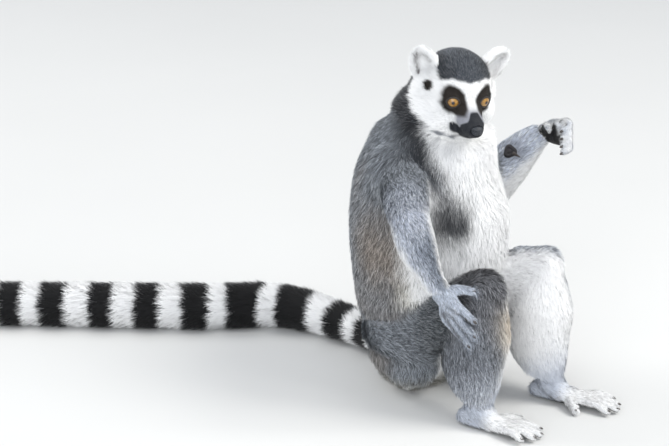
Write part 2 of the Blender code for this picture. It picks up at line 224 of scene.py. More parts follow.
# ---- Shader expressions ----------------------------------------------------------------------------------
class Socket:
    """One output of a node tree, on which numbers and other sockets work by plain operators."""

    def __init__(self, shade: "Shade", link: bpy.types.NodeSocket) -> None:
        """Keeps the tree and the output."""
        self.shade = shade
        self.link = link

    def _math(self, operation: str, one: "Socket | float", other: "Socket | float") -> "Socket":
        """One Math node."""
        return self.shade.node("ShaderNodeMath", {"operation": operation}, {0: one, 1: other})

    def __add__(self, other: "Socket | float") -> "Socket":
        """Sum."""
        return self._math("ADD", self, other)

    def __rsub__(self, other: float) -> "Socket":
        """Difference from a number."""
        return self._math("SUBTRACT", other, self)

    def __mul__(self, other: "Socket | float") -> "Socket":
        """Product."""
        return self._math("MULTIPLY", self, other)

    __radd__ = __add__
    __rmul__ = __mul__

    def ramp(self, low: float, high: float, start: float = 0.0, end: float = 1.0) -> "Socket":
        """A clamped smooth step of this value from start to end."""
        settings = {"interpolation_type": "SMOOTHSTEP"}
        return self.shade.node("ShaderNodeMapRange", settings, {0: self, 1: low, 2: high, 3: start, 4: end})


class Shade:
    """A new node material and the one way that its nodes are added."""

    def __init__(self, name: str) -> None:
        """Makes the material with its Principled shader."""
        self.material = bpy.data.materials.new(name)
        self.material.use_nodes = True
        self.tree = self.material.node_tree
        self.principled = self.tree.nodes["Principled BSDF"]

    def node(self, kind: str, settings: dict | None = None, sockets: dict | None = None,
             out: int = 0) -> Socket:
        """Adds a node.

        Args:
            kind: the node's type.
            settings: its properties, set first.
            sockets: values or Socket links by input name or number.
            out: which output is wanted.

        Returns:
            That output.
        """
        made = self.tree.nodes.new(kind)
        for name, value in (settings or {}).items():
            setattr(made, name, value)
        for name, value in (sockets or {}).items():
            self._fill(made.inputs[name], value)
        return Socket(self, made.outputs[out])

    def _fill(self, entry: bpy.types.NodeSocket, value: object) -> None:
        """Links or sets one input."""
        if isinstance(value, Socket):
            self.tree.links.new(value.link, entry)
        else:
            entry.default_value = value

    def place(self) -> Socket:
        """The place on the model, in metres."""
        return self.node("ShaderNodeTexCoord", out=3)

    def noise(self, scale: float, detail: float = 2.0, place: Socket | None = None) -> Socket:
        """Cloudy noise from 0 to 1."""
        return self.node("ShaderNodeTexNoise", {}, {"Vector": place or self.place(), "Scale": scale,
                                                    "Detail": detail})

    def attribute(self, name: str, out: int = 0) -> Socket:
        """A mesh attribute, as colour or, with out=2, as a number."""
        return self.node("ShaderNodeAttribute", {"attribute_name": name}, out=out)

    def blend(self, share: Socket, one: "Socket | Colour", other: "Socket | Colour") -> Socket:
        """A mix of two colours."""
        ends = {6: self._paint(one), 7: self._paint(other)}
        return self.node("ShaderNodeMix", {"data_type": "RGBA"}, {0: share, **ends}, out=2)

    @staticmethod
    def _paint(value: "Socket | Colour") -> object:
        """A colour with its alpha, or the socket as it is."""
        return value if isinstance(value, Socket) else (*value, 1.0)

    def bump(self, height: Socket, depth: float, strength: float = 1.0) -> Socket:
        """A bumped normal from a height of 0 to 1, over a depth in metres."""
        return self.node("ShaderNodeBump", {}, {"Height": height, "Distance": depth, "Strength": strength})

    def surface(self, **values: object) -> None:
        """Fills the shader: spaces in input names are written as underscores."""
        for name, value in values.items():
            entry = self.principled.inputs[name.replace("_", " ")]
            self._fill(entry, (*value, 1.0) if isinstance(value, tuple) and len(value) == 3 else value)


# ---- Anatomy read from the frame -------------------------------------------------------------------------
@dataclass(frozen=True)
class Limb:
    """One length of a limb or of the tail, from its near joint to its far one."""

    start: Array
    end: Array

    @property
    def axis(self) -> Array:
        """The direction from the near end to the far one."""
        return unit(self.end - self.start)

    @property
    def length(self) -> float:
        """How far the far end is from the near one."""
        return np.linalg.norm(self.end - self.start)

    def share(self, points: Array) -> Array:
        """How far along the length each place is, 0 at the near end."""
        return (points - self.start) @ self.axis / self.length

    def outward(self, points: Array) -> Array:
        """The direction from the axis to each place."""
        offset = points - self.start
        return unit(offset - (offset @ self.axis)[:, None] * self.axis)

    def faces(self, points: Array, toward: tuple[float, float, float]) -> Array:
        """How much each place faces a direction across the limb, from -1 to 1."""
        across = np.array(toward) - (np.array(toward) @ self.axis) * self.axis
        return self.outward(points) @ unit(across)


@dataclass(frozen=True)
class Head:
    """The head's own axes, from its eyes and nose."""

    eye_line: float = 24.0       # how far the eyes lie before the head's middle, mm
    eye_rise: float = 4.5
    nose_reach: float = 33.07    # from between the eyes to the nose pad, mm
    nose_drop: float = -16.94

    @cached_property
    def eyes(self) -> list[Array]:
        """The middles of the right and left eyes."""
        return [row(sum(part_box(name), Vector()) / 2) for name in EYES]

    @cached_property
    def axes(self) -> Array:
        """Rows: left, forward and up."""
        right_eye, left_eye = self.eyes
        left = unit(left_eye - right_eye)
        reach = row(sum(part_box(NOSE), Vector()) / 2) - (left_eye + right_eye) / 2
        reach = unit(reach - (reach @ left) * left)
        lift = np.cross(reach, left)
        drop = math.atan2(self.nose_drop, self.nose_reach)
        forward = math.cos(drop) * reach - math.sin(drop) * lift
        return np.array([left, forward, np.cross(forward, left)])

    @cached_property
    def middle(self) -> Array:
        """The head's middle."""
        between = sum(self.eyes) / 2
        return between - MM * (self.eye_line * self.axes[1] + self.eye_rise * self.axes[2])

    def local(self, points: Array) -> Array:
        """Places as left, forward and up of the head's middle, in millimetres."""
        return (points - self.middle) @ self.axes.T / MM

    def world(self, left: float, forward: float, up: float) -> Array:
        """The place that lies so far left, forward and up of the head's middle, in millimetres."""
        return self.middle + MM * np.array([left, forward, up]) @ self.axes


class Anatomy:
    """Joints, limbs and the nearest part of any place, read from the packed solids."""

    def __init__(self) -> None:
        """Reads the nodes."""
        self.solids = {name: mesh_points(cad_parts[name].data) for name in FLESH}
        self.head = Head()
        self.limbs = self._limbs()

    def meeting(self, one: str, other: str, reach: float = 2.5 * MM) -> Array:
        """The middle of the cut between two neighbours."""
        tree = KDTree(len(self.solids[other]))
        for index, point in enumerate(self.solids[other]):
            tree.insert(point, index)
        tree.balance()
        near = [point for point in self.solids[one] if tree.find(point)[2] < reach]
        low, high = np.min(near, axis=0), np.max(near, axis=0)
        return (low + high) / 2

    def far_end(self, name: str, start: Array) -> Array:
        """The end of a part that lies farthest from its near joint."""
        points = self.solids[name]
        distance = np.linalg.norm(points - start, axis=1)
        return points[distance > np.quantile(distance, 0.93)].mean(axis=0)

    def _limbs(self) -> dict[str, Limb]:
        """Every limb length and tail length."""
        chains = [["belly", *TAIL], ["chest", "neck", "head"]]
        for side in Side:
            chains.append(["chest", *(f"{part}_{side.word}" for part in ("upper_arm", "forearm", "hand"))])
            chains.append(["belly", *(f"{part}_{side.word}" for part in ("thigh", "shank", "foot"))])
        limbs = {}
        for chain in chains:
            joints = [self.meeting(near, far) for near, far in zip(chain, chain[1:])]
            joints.append(self.far_end(chain[-1], joints[-1]))
            for name, start, end in zip(chain[1:], joints, joints[1:]):
                limbs[name] = Limb(start, end)
        return limbs


# ---- Markings: one set of colours for skin and coat ------------------------------------------------------
@dataclass(frozen=True)
class Palette:
    """The colours of the coat and the bare skin, linear."""

    white: Colour = (0.95, 0.95, 0.95)
    cream: Colour = (0.74, 0.71, 0.62)
    belly: Colour = (0.97, 0.975, 0.98)
    back: Colour = (0.225, 0.245, 0.272)
    rust: Colour = (0.27, 0.215, 0.165)
    nape: Colour = (0.026, 0.028, 0.033)
    cap: Colour = (0.062, 0.070, 0.084)
    # painted shade on the snout's sides below the eye patches
    lavender: Colour = (0.36, 0.37, 0.43)
    # painted shade under the chin
    chin: Colour = (0.62, 0.61, 0.57)
    patch: Colour = (0.020, 0.015, 0.012)
    muzzle: Colour = (0.0085, 0.0105, 0.016)
    arm: Colour = (0.185, 0.21, 0.255)
    arm_edge: Colour = (0.52, 0.56, 0.65)
    hand: Colour = (0.52, 0.57, 0.66)
    thigh: Colour = (0.170, 0.187, 0.205)
    knee: Colour = (0.115, 0.116, 0.126)
    shank: Colour = (0.190, 0.205, 0.232)
    pale_leg: Colour = (0.50, 0.53, 0.59)
    gold: Colour = (0.66, 0.56, 0.43)
    black: Colour = (0.011, 0.011, 0.012)
    leather: Colour = (0.009, 0.009, 0.010)
    ear_skin: Colour = (0.085, 0.062, 0.066)
    gland: Colour = (0.020, 0.015, 0.019)


class Places:
    """Places on the outside of one part's coat, with what the markings measure there."""

    FINE, BROAD = Mottle(5 * MM, 3), Mottle(24 * MM, 8)     # noise that roughens edges and clouds colours

    def __init__(self, anatomy: Anatomy, name: str, points: Array, normals: Array) -> None:
        """Measures the places.

        Args:
            anatomy: the head's axes and the limbs.
            name: the part.
            points: the places, one a row.
            normals: which way the coat faces there.
        """
        self.points, self.normals = points, normals
        self.right = name.endswith("_right")
        self.limb = anatomy.limbs.get(name)
        self.share = self.limb.share(points) if self.limb else None
        self.fine, self.broad = self.FINE.at(points), self.BROAD.at(points)
        self.height = points[:, 2] / MM
        self.local = anatomy.head.local(points)
        self.aside = np.abs(self.local[:, 0])
        self.zero = np.zeros(len(points))

    def faces(self, *toward: float) -> Array:
        """How much each place faces a direction across its limb."""
        return self.limb.faces(self.points, toward)

    @cached_property
    def angle(self) -> Array:
        """How far round from the middle of the front each place is, in degrees."""
        heights, middles = zip(*TRUNK_AXIS)
        axis_y = np.interp(self.height, heights, middles)
        return np.degrees(np.arctan2(np.abs(self.points[:, 0]), -(self.points[:, 1] - axis_y * MM)))


class Markings:
    """The lemur's pattern: the coat's colour at each place, how grizzled it is, and where skin is bare."""

    # Outlines and lines, mm in the head's axes: aside, forward, up
    PATCH_EDGE = np.array([(20.5, 18.2), (16.0, 19.2), (11.0, 17.0), (6.8, 12.0), (4.9, 6.6), (5.4, 1.6),
                           (8.6, -3.0), (13.0, -6.2), (17.5, -7.4), (22.5, -4.4), (25.6, 1.5), (25.5, 9.0),
                           (23.5, 15.2)])       # round an eye, aside and up
    RUFF_BACK, RUFF_FRONT = (-14.0, -6.0), (36.0, -27.0)    # ends of the ruff's lower edge, forward and up
    RUFF_NECK, RUFF_SLOPE = -8.0, -0.36         # the same edge on the neck
    # painted shade: the hollow below each ear is painted dark
    NOTCH = (33.2, 3.5, 10.3)                   # dark hollow below the ear
    NOTCH_SIZE = (4.6, 7.0, 6.4)
    EAR_STREAK = np.array([(42.0, 33.0), (41.0, 25.0), (38.0, 17.5), (34.0, 11.5)])    # aside and up
    BROW, BROW_BEND, BROW_FALL = 24.4, 17.0, 0.42      # height of the cap's front, falling beyond the bend
    CAP_HALF, CAP_TAPER = 26.5, -8.0            # half the cap's width, narrowing behind here
    MUZZLE = 44.0                               # where the black of the muzzle starts
    FOLD_WANDER = 1.6                           # how far the throat's folds stray from their lines
    # the painted shade in the hollow by the left ear is weaker
    FAINT_LEFT = 0.3                            # how strong the hollow by the left ear is
    # The trunk, heights in mm and angles from the front in degrees
    BIB = ((60.0, 24.0), (90.0, 38.0), (120.0, 58.0), (180.0, 72.0), (205.0, 70.0), (215.0, 63.0),
           (225.0, 50.0), (232.0, 34.0), (239.0, 33.0), (258.0, 50.0), (290.0, 62.0))   # half the white
    STRETCHED_BIB, STRETCH_FROM = 64.0, 125.0   # at least this wide under the raised arm, above this height
    FLANK, FLANK_SIZE = (78.0, 155.0), (34.0, 38.0)    # rusty flank: angle and height
    GROIN, GROIN_SIZE = (62.0, 124.0), (14.0, 14.0)    # cream fold over the thigh
    ARMPIT = np.array([40.0, -78.0, 204.0])     # dark patch by the right armpit: aside, back, up
    ARMPIT_SIZE = np.array([17.0, 20.0, 22.0])
    # Limbs and tail
    GLAND = np.array([91.2, -38.6, 228.0])      # scent gland inside the left forearm, mm
    GLAND_RUN = (5.5, -12.0, -6.0)              # the way its bare skin runs down the arm
    RINGS = ((34.0, 20.0), (74.0, 26.0), (136.0, 36.0), (192.0, 39.0), (245.0, 28.0), (296.0, 25.0),
             (345.0, 26.0), (397.0, 27.0), (443.0, 25.0), (487.0, 23.0), (529.0, 22.0),
             (569.0, 20.0))                     # middle and width along the tail, mm
    TIP_EDGE = (-22.0, -18.0)                   # where the tail's tip turns black, mm from its end

    def __init__(self, anatomy: Anatomy) -> None:
        """Keeps the anatomy and the colours."""
        self.anatomy = anatomy
        self.paint = SimpleNamespace(**{name: np.array(colour) for name, colour in vars(Palette()).items()})

    def read(self, points: Array, normals: Array, parts: Array) -> Marks:
        """Colours every place.

        Args:
            points: places on the outside of the coat.
            normals: which way the coat faces there.
            parts: the index in FLESH of the part at each place.

        Returns:
            The colour, how grizzled the coat is from 0 to 1, and how bare the skin is from 0 to 1.
        """
        colour, grizzle, bare = np.empty(points.shape), np.empty(len(points)), np.empty(len(points))
        for index, name in enumerate(FLESH):
            rows = parts == index
            if rows.any():
                method = getattr(self, f"_{kind_of(name)}")
                at = Places(self.anatomy, name, points[rows], normals[rows])
                colour[rows], grizzle[rows], bare[rows] = method(at)
        return colour, grizzle, bare

    def _head(self, at: Places) -> Marks:
        """Dark cap, white brow and cheeks, black eye patches and muzzle, with painted light and shade on the
        cap, the snout's sides, under the chin and in the hollows below the ears.
        """
        aside, forward, up = at.aside, at.local[:, 1] + at.fine, at.local[:, 2] + at.fine
        cap, rear = self._cap(aside, forward, up)
        grey = np.maximum(cap, rear)
        tone = Places.BROAD.at(at.points * 2.5)
        # painted highlight and shade: the cap is painted paler along its middle and darker toward the ears
        edges = 1.15 - 0.55 * smooth_step(8.0, 24.0, aside)
        colour = mix(self.paint.white, self.paint.cap * ((1.0 + 0.22 * tone) * edges)[:, None], grey)
        nape = smooth_step(14.0, -6.0, up) * rear * (0.35 + 0.65 * smooth_step(4.0, 22.0, aside))
        colour = mix(colour, self.paint.nape, nape)
        (back, back_up), (front, front_up) = self.RUFF_BACK, self.RUFF_FRONT
        edge = back_up + (forward - back) / (front - back) * (front_up - back_up)
        reach = np.where(at.local[:, 0] > 0.0, 2.0, 30.0)
        below = smooth_step(1.5, -3.0, up - edge) * smooth_step(0.0, -14.0, forward - reach)
        colour = mix(colour, self.paint.nape, below)
        # painted shade on the sides of the snout below the eye patches, in a lavender grey
        shade = smooth_step(30.0, 39.0, forward) * smooth_step(6.0, -2.0, up) * smooth_step(-24.0, -19.0, up)
        colour = mix(colour, self.paint.lavender * 0.8, shade * 0.9)
        # painted shade under the chin and jaw
        under = smooth_step(24.0, 40.0, forward) * smooth_step(-12.0, -20.0, up)
        colour = mix(colour, self.paint.chin, under * 0.3)
        patch = smooth_step(2.2, -1.4, outline_distance(np.stack([aside, up], axis=1), self.PATCH_EDGE))
        # the hollows below the ears take the eye patches' dark colour as painted shade
        patch = np.maximum(patch * (forward > 12.0), self._notch(at.local))
        colour = self._folded(mix(colour, self.paint.patch, patch), at)
        dark = self._muzzle(aside, forward, up)
        grizzle = np.maximum(grey * 0.9, below * 0.4) * (1.0 - dark)
        return mix(colour, self.paint.muzzle, dark), grizzle, dark * 0.75

    def _cap(self, aside: Array, forward: Array, up: Array) -> tuple[Array, Array]:
        """How far each place lies in the grey cap, and how far behind the ears."""
        fall = self.BROW_FALL * np.maximum(aside - self.BROW_BEND, 0.0)
        brow = self.BROW - fall - 1.0 * np.exp(-(aside / 4.0) ** 2)
        cap = smooth_step(-1.6, 1.6, up - np.where(forward > 0, brow, brow + 0.25 * forward))
        narrow = self.CAP_HALF - 0.5 * (forward - self.CAP_TAPER)
        half = np.where(forward > self.CAP_TAPER, self.CAP_HALF, narrow)
        cap *= smooth_step(1.5, -1.5, aside - half)
        return cap, smooth_step(-16.0, -22.0, forward + 0.25 * np.minimum(up, 0.0))

    def _muzzle(self, aside: Array, forward: Array, up: Array) -> Array:
        """How far each place lies in the black tip of the muzzle or in the dark line of the lips."""
        start = self.MUZZLE + 7.0 * smooth_step(3.2, 7.5, aside) * smooth_step(-13.0, -6.0, up)
        start = start - 6.0 * smooth_step(-13.0, -19.0, up)
        dark = smooth_step(-1.2, 1.4, forward - start) * smooth_step(-28.5, -25.5, up)
        lips = path_distance(np.stack([forward, up], axis=1), MOUTH[:, 1:])
        half = 0.6 + 3.0 * smooth_step(30.5, 38.5, forward)
        return np.maximum(dark, smooth_step(0.8, -0.8, lips - half) * smooth_step(18.5, 16.5, aside))

    def throat(self, local: Array) -> Array:
        """How far each place lies in a fold of the throat, where the hair parts and the colour is darkened as
        painted shade.
        """
        places = mirrored(local) + self.FOLD_WANDER * Mottle(6.0, 21).at(local)[:, None]
        nearest = np.min([path_distance(places, fold) for fold in FOLDS], axis=0)
        gaps = smooth_step(-0.5, 0.3, Mottle(8.0, 4).at(local)) * smooth_step(9.0, 15.0, places[:, 0])
        return smooth_step(3.0, 1.0, nearest) * gaps

    def _folded(self, colour: Array, at: Places) -> Array:
        """The colour with painted shade darkening the throat's folds."""
        return mix(colour, self.paint.arm * 0.7, 0.85 * self.throat(at.local))

    def _ear(self, at: Places) -> Marks:
        """White ears with dark skin low in the bowl, deepened by painted shade, and painted shade in the
        hollow below.
        """
        streak = path_distance(np.stack([at.aside, at.local[:, 2]], axis=1), self.EAR_STREAK)
        bowl = smooth_step(3.0, 0.6, streak + 0.8 * at.fine) * smooth_step(-15.0, -10.0, at.local[:, 1])
        # the bowl's dark is partly the ear's own dark skin and partly painted shade, full on the right ear
        # and a quarter on the left
        bowl *= np.where(at.local[:, 0] < 0.0, 1.0, 0.25)
        # painted shade in the hollow below the ear
        shaded_hollow = self._notch(at.local)
        colour = mix(mix(self.paint.white, self.paint.ear_skin, bowl), self.paint.patch, shaded_hollow)
        return colour, at.zero, 0.8 * smooth_step(0.4, 0.9, np.maximum(bowl, shaded_hollow))

    def _notch(self, local: Array) -> Array:
        """How far each place lies in the hollow below the ear, which is painted dark as shade."""
        aside, forward, up = (mirrored(local) - self.NOTCH).T
        wide, deep, tall = self.NOTCH_SIZE
        spread = (aside / wide) ** 2 + (forward / deep) ** 2 + ((up - 0.3 * aside) / tall) ** 2
        return smooth_step(0.30, 0.62, np.exp(-spread)) * np.where(local[:, 0] < 0.0, 1.0, self.FAINT_LEFT)

    def _neck(self, at: Places) -> Marks:
        """Near-black nape and sides, white throat."""
        colour, grizzle, bare = self._trunk(at)
        forward, up = at.local[:, 1], at.local[:, 2]
        height = at.height + 3.0 * at.fine
        dark = smooth_step(238.0, 262.0, height)
        rise = 244.0 + 0.45 * np.maximum(at.angle - 60.0, 0.0)
        dark = dark * smooth_step(rise, rise + 24.0, height)
        dark = dark * (0.55 + 0.45 * smooth_step(150.0, 110.0, at.angle))
        sides = smooth_step(0.0, 8.0, at.angle - self._bib(at)) * dark
        colour = mix(colour, self.paint.nape, sides)
        ruff = smooth_step(-2.0, 3.0, up - (self.RUFF_NECK + self.RUFF_SLOPE * (forward + 14.0)))
        ruff *= smooth_step(-20.0, -12.0, forward)
        colour = self._folded(mix(colour, self.paint.white, ruff), at)
        return colour, grizzle * (1.0 - 0.6 * sides) * (1.0 - ruff), bare

    def _bib(self, at: Places) -> Array:
        """Half the width of the white front at each place's height, in degrees."""
        heights, angles = zip(*self.BIB)
        width = np.interp(at.height, heights, angles)
        stretched = (at.points[:, 0] > 0.0) & (at.height > self.STRETCH_FROM)
        return np.where(stretched, np.maximum(width, self.STRETCHED_BIB), width) + 4.0 * at.fine

    @staticmethod
    def _bump(at: Places, middle: tuple[float, float], size: tuple[float, float]) -> Array:
        """A soft round spot on the trunk, 1 at its middle's angle and height."""
        return np.exp(-((at.angle - middle[0]) / size[0]) ** 2 - ((at.height - middle[1]) / size[1]) ** 2)

    def _trunk(self, at: Places) -> Marks:
        """Grey back with a rusty flank, white front and a dark patch by the right armpit."""
        coat = self.paint.back * (1.0 + 0.16 * at.broad[:, None])
        coat = mix(coat, self.paint.rust, 0.45 * smooth_step(0.0, 0.7, Mottle(32 * MM, 31).at(at.points)))
        flank = self._bump(at, self.FLANK, self.FLANK_SIZE)
        coat = mix(coat, self.paint.rust, np.clip(flank * 0.8 + 0.25 * at.broad * flank, 0.0, 1.0))
        groin = self._bump(at, self.GROIN, self.GROIN_SIZE)
        coat = mix(coat, self.paint.cream, smooth_step(0.2, 0.8, groin) * 0.85)
        dark = smooth_step(210.0, 248.0, at.height + 6.0 * at.broad - 0.6 * np.abs(at.angle - 52.0))
        coat = mix(coat, self.paint.nape * 1.4, dark * smooth_step(104.0, 66.0, at.angle) * 0.95)
        front = smooth_step(3.5, -3.5, at.angle - self._bib(at))
        pale = mix(self.paint.white, self.paint.belly, smooth_step(185.0, 130.0, at.height))
        # the dark spot by the right armpit is partly dark hair and partly painted shade in the armpit's fold
        spot = np.linalg.norm((at.points * (-1.0, 1.0, 1.0) / MM - self.ARMPIT) / self.ARMPIT_SIZE, axis=1)
        spot = smooth_step(1.2, 0.85, spot + 0.16 * at.fine) * (at.points[:, 0] < 0.0)
        colour = mix(mix(coat, pale, front), self.paint.nape * 1.1, spot)
        return colour, (1.0 - front) * (1.0 - 0.5 * dark), at.zero

    _chest = _trunk

    def _belly(self, at: Places) -> Marks:
        """The lower trunk, with a pale rump below."""
        colour, grizzle, bare = self._trunk(at)
        return mix(colour, self.paint.cream, smooth_step(34.0, 12.0, at.height) * 0.55), grizzle, bare

    @staticmethod
    def _limb_coat(at: Places, outer: Array, inner: Array, share: Array) -> Marks:
        """A coat whose inner side is pale.

        Args:
            at: places on the limb.
            outer: the outer side's colour, one for all or one a row.
            inner: the inner side's colour.
            share: 0 on the outer side, 1 on the inner side.

        Returns:
            Colour, grizzle and bareness.
        """
        return mix(outer * (1.0 + 0.12 * at.broad[:, None]), inner, share), 1.0 - share, at.zero

    def _upper_arm(self, at: Places) -> Marks:
        """Grey like the back, white under the arm."""
        toward, low = ((1.0, -0.35, -0.35), 0.5) if at.right else ((0.1, -0.35, -0.9), -0.05)
        inside = smooth_step(low, low + 0.4, at.faces(*toward) + 0.12 * at.fine)
        outer = mix(self.paint.back, self.paint.arm_edge * 0.8, smooth_step(0.2, 1.0, at.share))
        return self._limb_coat(at, outer, self.paint.white, inside)

    def _forearm(self, at: Places) -> Marks:
        """Bluish grey, darkest down the middle, with white edges; the raised arm is white below."""
        tone = 0.15 * at.fine
        if at.right:
            across, rear = at.faces(1.0, -1.0, 0.0) + tone, at.faces(1.0, 1.0, -0.3) + tone
            inside = np.maximum(smooth_step(0.68, 0.86, across), smooth_step(0.1, 0.6, rear))
            inside = np.maximum(inside, smooth_step(-0.80, -0.95, across))
            middle = smooth_step(-0.75, -0.35, across) * smooth_step(0.05, 0.4, at.share)
            outer = mix(self.paint.arm_edge, self.paint.arm, middle)
            return self._limb_coat(at, outer, self.paint.white, inside)
        inside = smooth_step(-0.05, 0.3, at.faces(0.45, -0.35, -0.8) + tone)
        # painted light: the left forearm's outer side is painted paler than the right forearm's
        outer = self.paint.arm_edge * 1.25
        colour, grizzle, bare = self._limb_coat(at, outer, self.paint.white, inside)
        offset, run = at.points / MM - self.GLAND, unit(np.array(self.GLAND_RUN))
        length = np.clip(offset @ run, 0.0, 10.0)
        away = np.linalg.norm(offset - length[:, None] * run, axis=1)
        patch = smooth_step(7.2, 5.8, away + 0.25 * length)
        return mix(colour, self.paint.gland, patch), grizzle * (1.0 - patch), patch

    def _hand(self, at: Places) -> Marks:
        """Pale grey backs, black palms."""
        toward = (0.75, 0.35, -0.55) if at.right else (-0.80, 0.35, -0.45)
        palm = smooth_step(0.25, 0.55, at.normals @ unit(np.array(toward)))
        share = at.share + 0.05 * at.fine
        if at.right:
            back = mix(self.paint.hand, self.paint.arm, 0.4 * smooth_step(0.35, 0.9, share))
            # painted shade in the gaps between the right hand's fingers
            back = mix(back, self.paint.knee, 0.75 * self._between_fingers(at.points))
        else:
            palm *= smooth_step(0.72, 0.60, share)
            # painted light: the left hand's back is painted whiter than the right hand's
            back = mix(self.paint.hand, self.paint.white,
                       np.clip(0.75 + 0.4 * Places.FINE.at(at.points * 0.7), 0.0, 1.0))
        return mix(back, self.paint.leather * 0.6, palm), 0.8 * (1.0 - palm), palm

    @staticmethod
    def _between_fingers(points: Array) -> Array:
        """How far each place lies in the gap between two fingers of the right hand, where shade is painted.
        """
        nearest = np.sort([path_distance(points / MM, np.array(run)) for run in FINGERS], axis=0)
        return smooth_step(2.3, 0.7, nearest[1] - nearest[0]) * smooth_step(12.0, 8.0, nearest[1])

    def _foot(self, at: Places) -> Marks:
        """White above, black soles."""
        sole = smooth_step(-0.45, -0.75, at.normals[:, 2]) * smooth_step(12 * MM, 8 * MM, at.points[:, 2])
        coat = mix(self.paint.white, self.paint.pale_leg * 1.3, smooth_step(0.3, 0.0, at.share))
        return mix(coat, self.paint.leather, sole), 0.1 * (1.0 - sole), sole

    def _thigh(self, at: Places) -> Marks:
        """Grey outside, white inside, with a dark grizzled right knee that is also painted shade and a left
        knee painted paler as painted light.
        """
        if at.right:
            inside = smooth_step(0.30, 0.65, at.faces(1.0, -0.1, 0.1) + 0.1 * at.fine)
            # painted shade: the right thigh darkens toward its knee more than the left thigh
            outer = mix(self.paint.back * 1.05, self.paint.thigh * 0.6,
                        smooth_step(0.0, 0.35, at.share))
            knee = smooth_step(0.72, 0.98, at.share + 0.05 * at.fine)
            knee *= smooth_step(0.35, 0.75, at.faces(-0.2, 0.0, 1.0))
            outer = mix(outer, self.paint.knee * 1.1, knee * 0.85)
        else:
            inside = smooth_step(-0.50, -0.05, at.faces(-1.0, -0.25, -0.35) + 0.12 * at.fine)
            # painted light: the left thigh turns pale grey toward its knee
            outer = mix(self.paint.thigh, self.paint.pale_leg * 1.25, smooth_step(0.15, 0.5, at.share))
        return self._limb_coat(at, outer, self.paint.white, inside)

    def _shank(self, at: Places) -> Marks:
        """Grey outside, golden along the right shin, white inside."""
        foot, top = smooth_step(0.5, 0.95, at.share), smooth_step(0.22, 0.0, at.share)
        along = at.faces(1.0 if at.right else -1.0, -0.15, 0.0) + 0.12 * at.fine
        if at.right:
            edge, soft = 0.28 - 0.22 * np.exp(-((at.share - 0.1) / 0.15) ** 2), 0.27
            # painted shade: the right shank is painted darker than the left, darkest below the knee
            outer = mix(self.paint.shank * 0.86, self.paint.knee * 1.1, top * 0.8)
        else:
            edge, soft = -0.55, 0.45
            # painted light: the left shank is painted pale grey below its knee
            outer = mix(self.paint.shank, self.paint.pale_leg, top)
        outer = mix(outer, self.paint.pale_leg, foot)
        inner = mix(self.paint.white, self.paint.pale_leg * 1.3, foot)
        colour, grizzle, bare = self._limb_coat(at, outer, inner, smooth_step(edge, edge + soft, along))
        if at.right:
            shin = np.exp(-((at.faces(0.75, -1.0, 0.0) - 1.0) / 0.30) ** 2)
            shin *= np.exp(-((at.share - 0.12) / 0.2) ** 2)
            colour = mix(colour, self.paint.gold, np.clip(shin * (0.9 + 0.5 * at.fine), 0, 1))
        return colour, grizzle, bare

    def _tail(self, at: Places) -> Marks:
        """Black rings on white, with a black tip."""
        reach = self._tail_reach(at.points) / MM + 1.6 * at.fine
        outside = np.min([np.abs(reach - middle) - width / 2 for middle, width in self.RINGS], axis=0)
        end = sum(self.anatomy.limbs[name].length for name in TAIL) / MM
        black = np.maximum(smooth_step(1.5, -1.5, outside), smooth_step(*self.TIP_EDGE, reach - end))
        return mix(self.paint.white, self.paint.black, black), at.zero, at.zero

    def _tail_reach(self, points: Array) -> Array:
        """How far along the tail each place is, from where the tail leaves the rump."""
        reach, best, done = np.zeros(len(points)), np.full(len(points), np.inf), 0.0
        for name in TAIL:
            limb = self.anatomy.limbs[name]
            low, high = (-0.2 if name == TAIL[0] else 0.0), (1.2 if name == TAIL[-1] else 1.0)
            share = np.clip(limb.share(points), low, high)
            distance = np.linalg.norm(points - limb.start - share[:, None] * (limb.end - limb.start), axis=1)
            reach = np.where(distance < best, done + share * limb.length, reach)
            best = np.minimum(best, distance)
            done += limb.length
        return reach


# ---- Skin ------------------------------------------------------------------------------------------------
class Web:
    """The edges of a mesh, for smoothing what its vertices carry."""

    def __init__(self, mesh: bpy.types.Mesh) -> None:
        """Reads the edges."""
        flat = np.empty(len(mesh.edges) * 2, dtype=np.int32)
        mesh.edges.foreach_get("vertices", flat)
        self.one, self.other = flat.reshape(-1, 2).T
        self.size = len(mesh.vertices)
        self.degree = np.maximum(np.bincount(flat, minlength=self.size), 1)

    def average(self, values: Array) -> Array:
        """The mean of each vertex's neighbours."""
        columns = values.reshape(self.size, -1).T
        sums = [np.bincount(self.one, column[self.other], self.size)
                + np.bincount(self.other, column[self.one], self.size) for column in columns]
        return (np.array(sums) / self.degree).T.reshape(values.shape)

    def smooth(self, values: Array, rounds: int, share: float | Array = 0.5) -> Array:
        """Values drawn toward their neighbours' a number of times."""
        share = share[:, None] if isinstance(share, np.ndarray) and values.ndim == 2 else share
        for _ in range(rounds):
            values = values + share * (self.average(values) - values)
        return values

    def relax(self, points: Array, rounds: int) -> Array:
        """Places smoothed without shrinking."""
        for _ in range(rounds):
            points = self.smooth(points, 1, 0.5)
            points = self.smooth(points, 1, -0.53)
        return points


@dataclass(frozen=True)
class Pelt:
    """The coat of one kind of body part, in millimetres."""

    depth: float            # how far the skin lies inside the coat
    length: float           # of a tuft
    width: float
    blades: int             # for the whole kind, on both sides
    clump: float = 6.0      # across a clump
    gather: float = 0.35    # how far tips lean to their clump's middle
    stray: float = 0.16     # how far tufts turn from the lie of the coat
    lift: float = 1.0       # how high tips stand, as a share of the depth


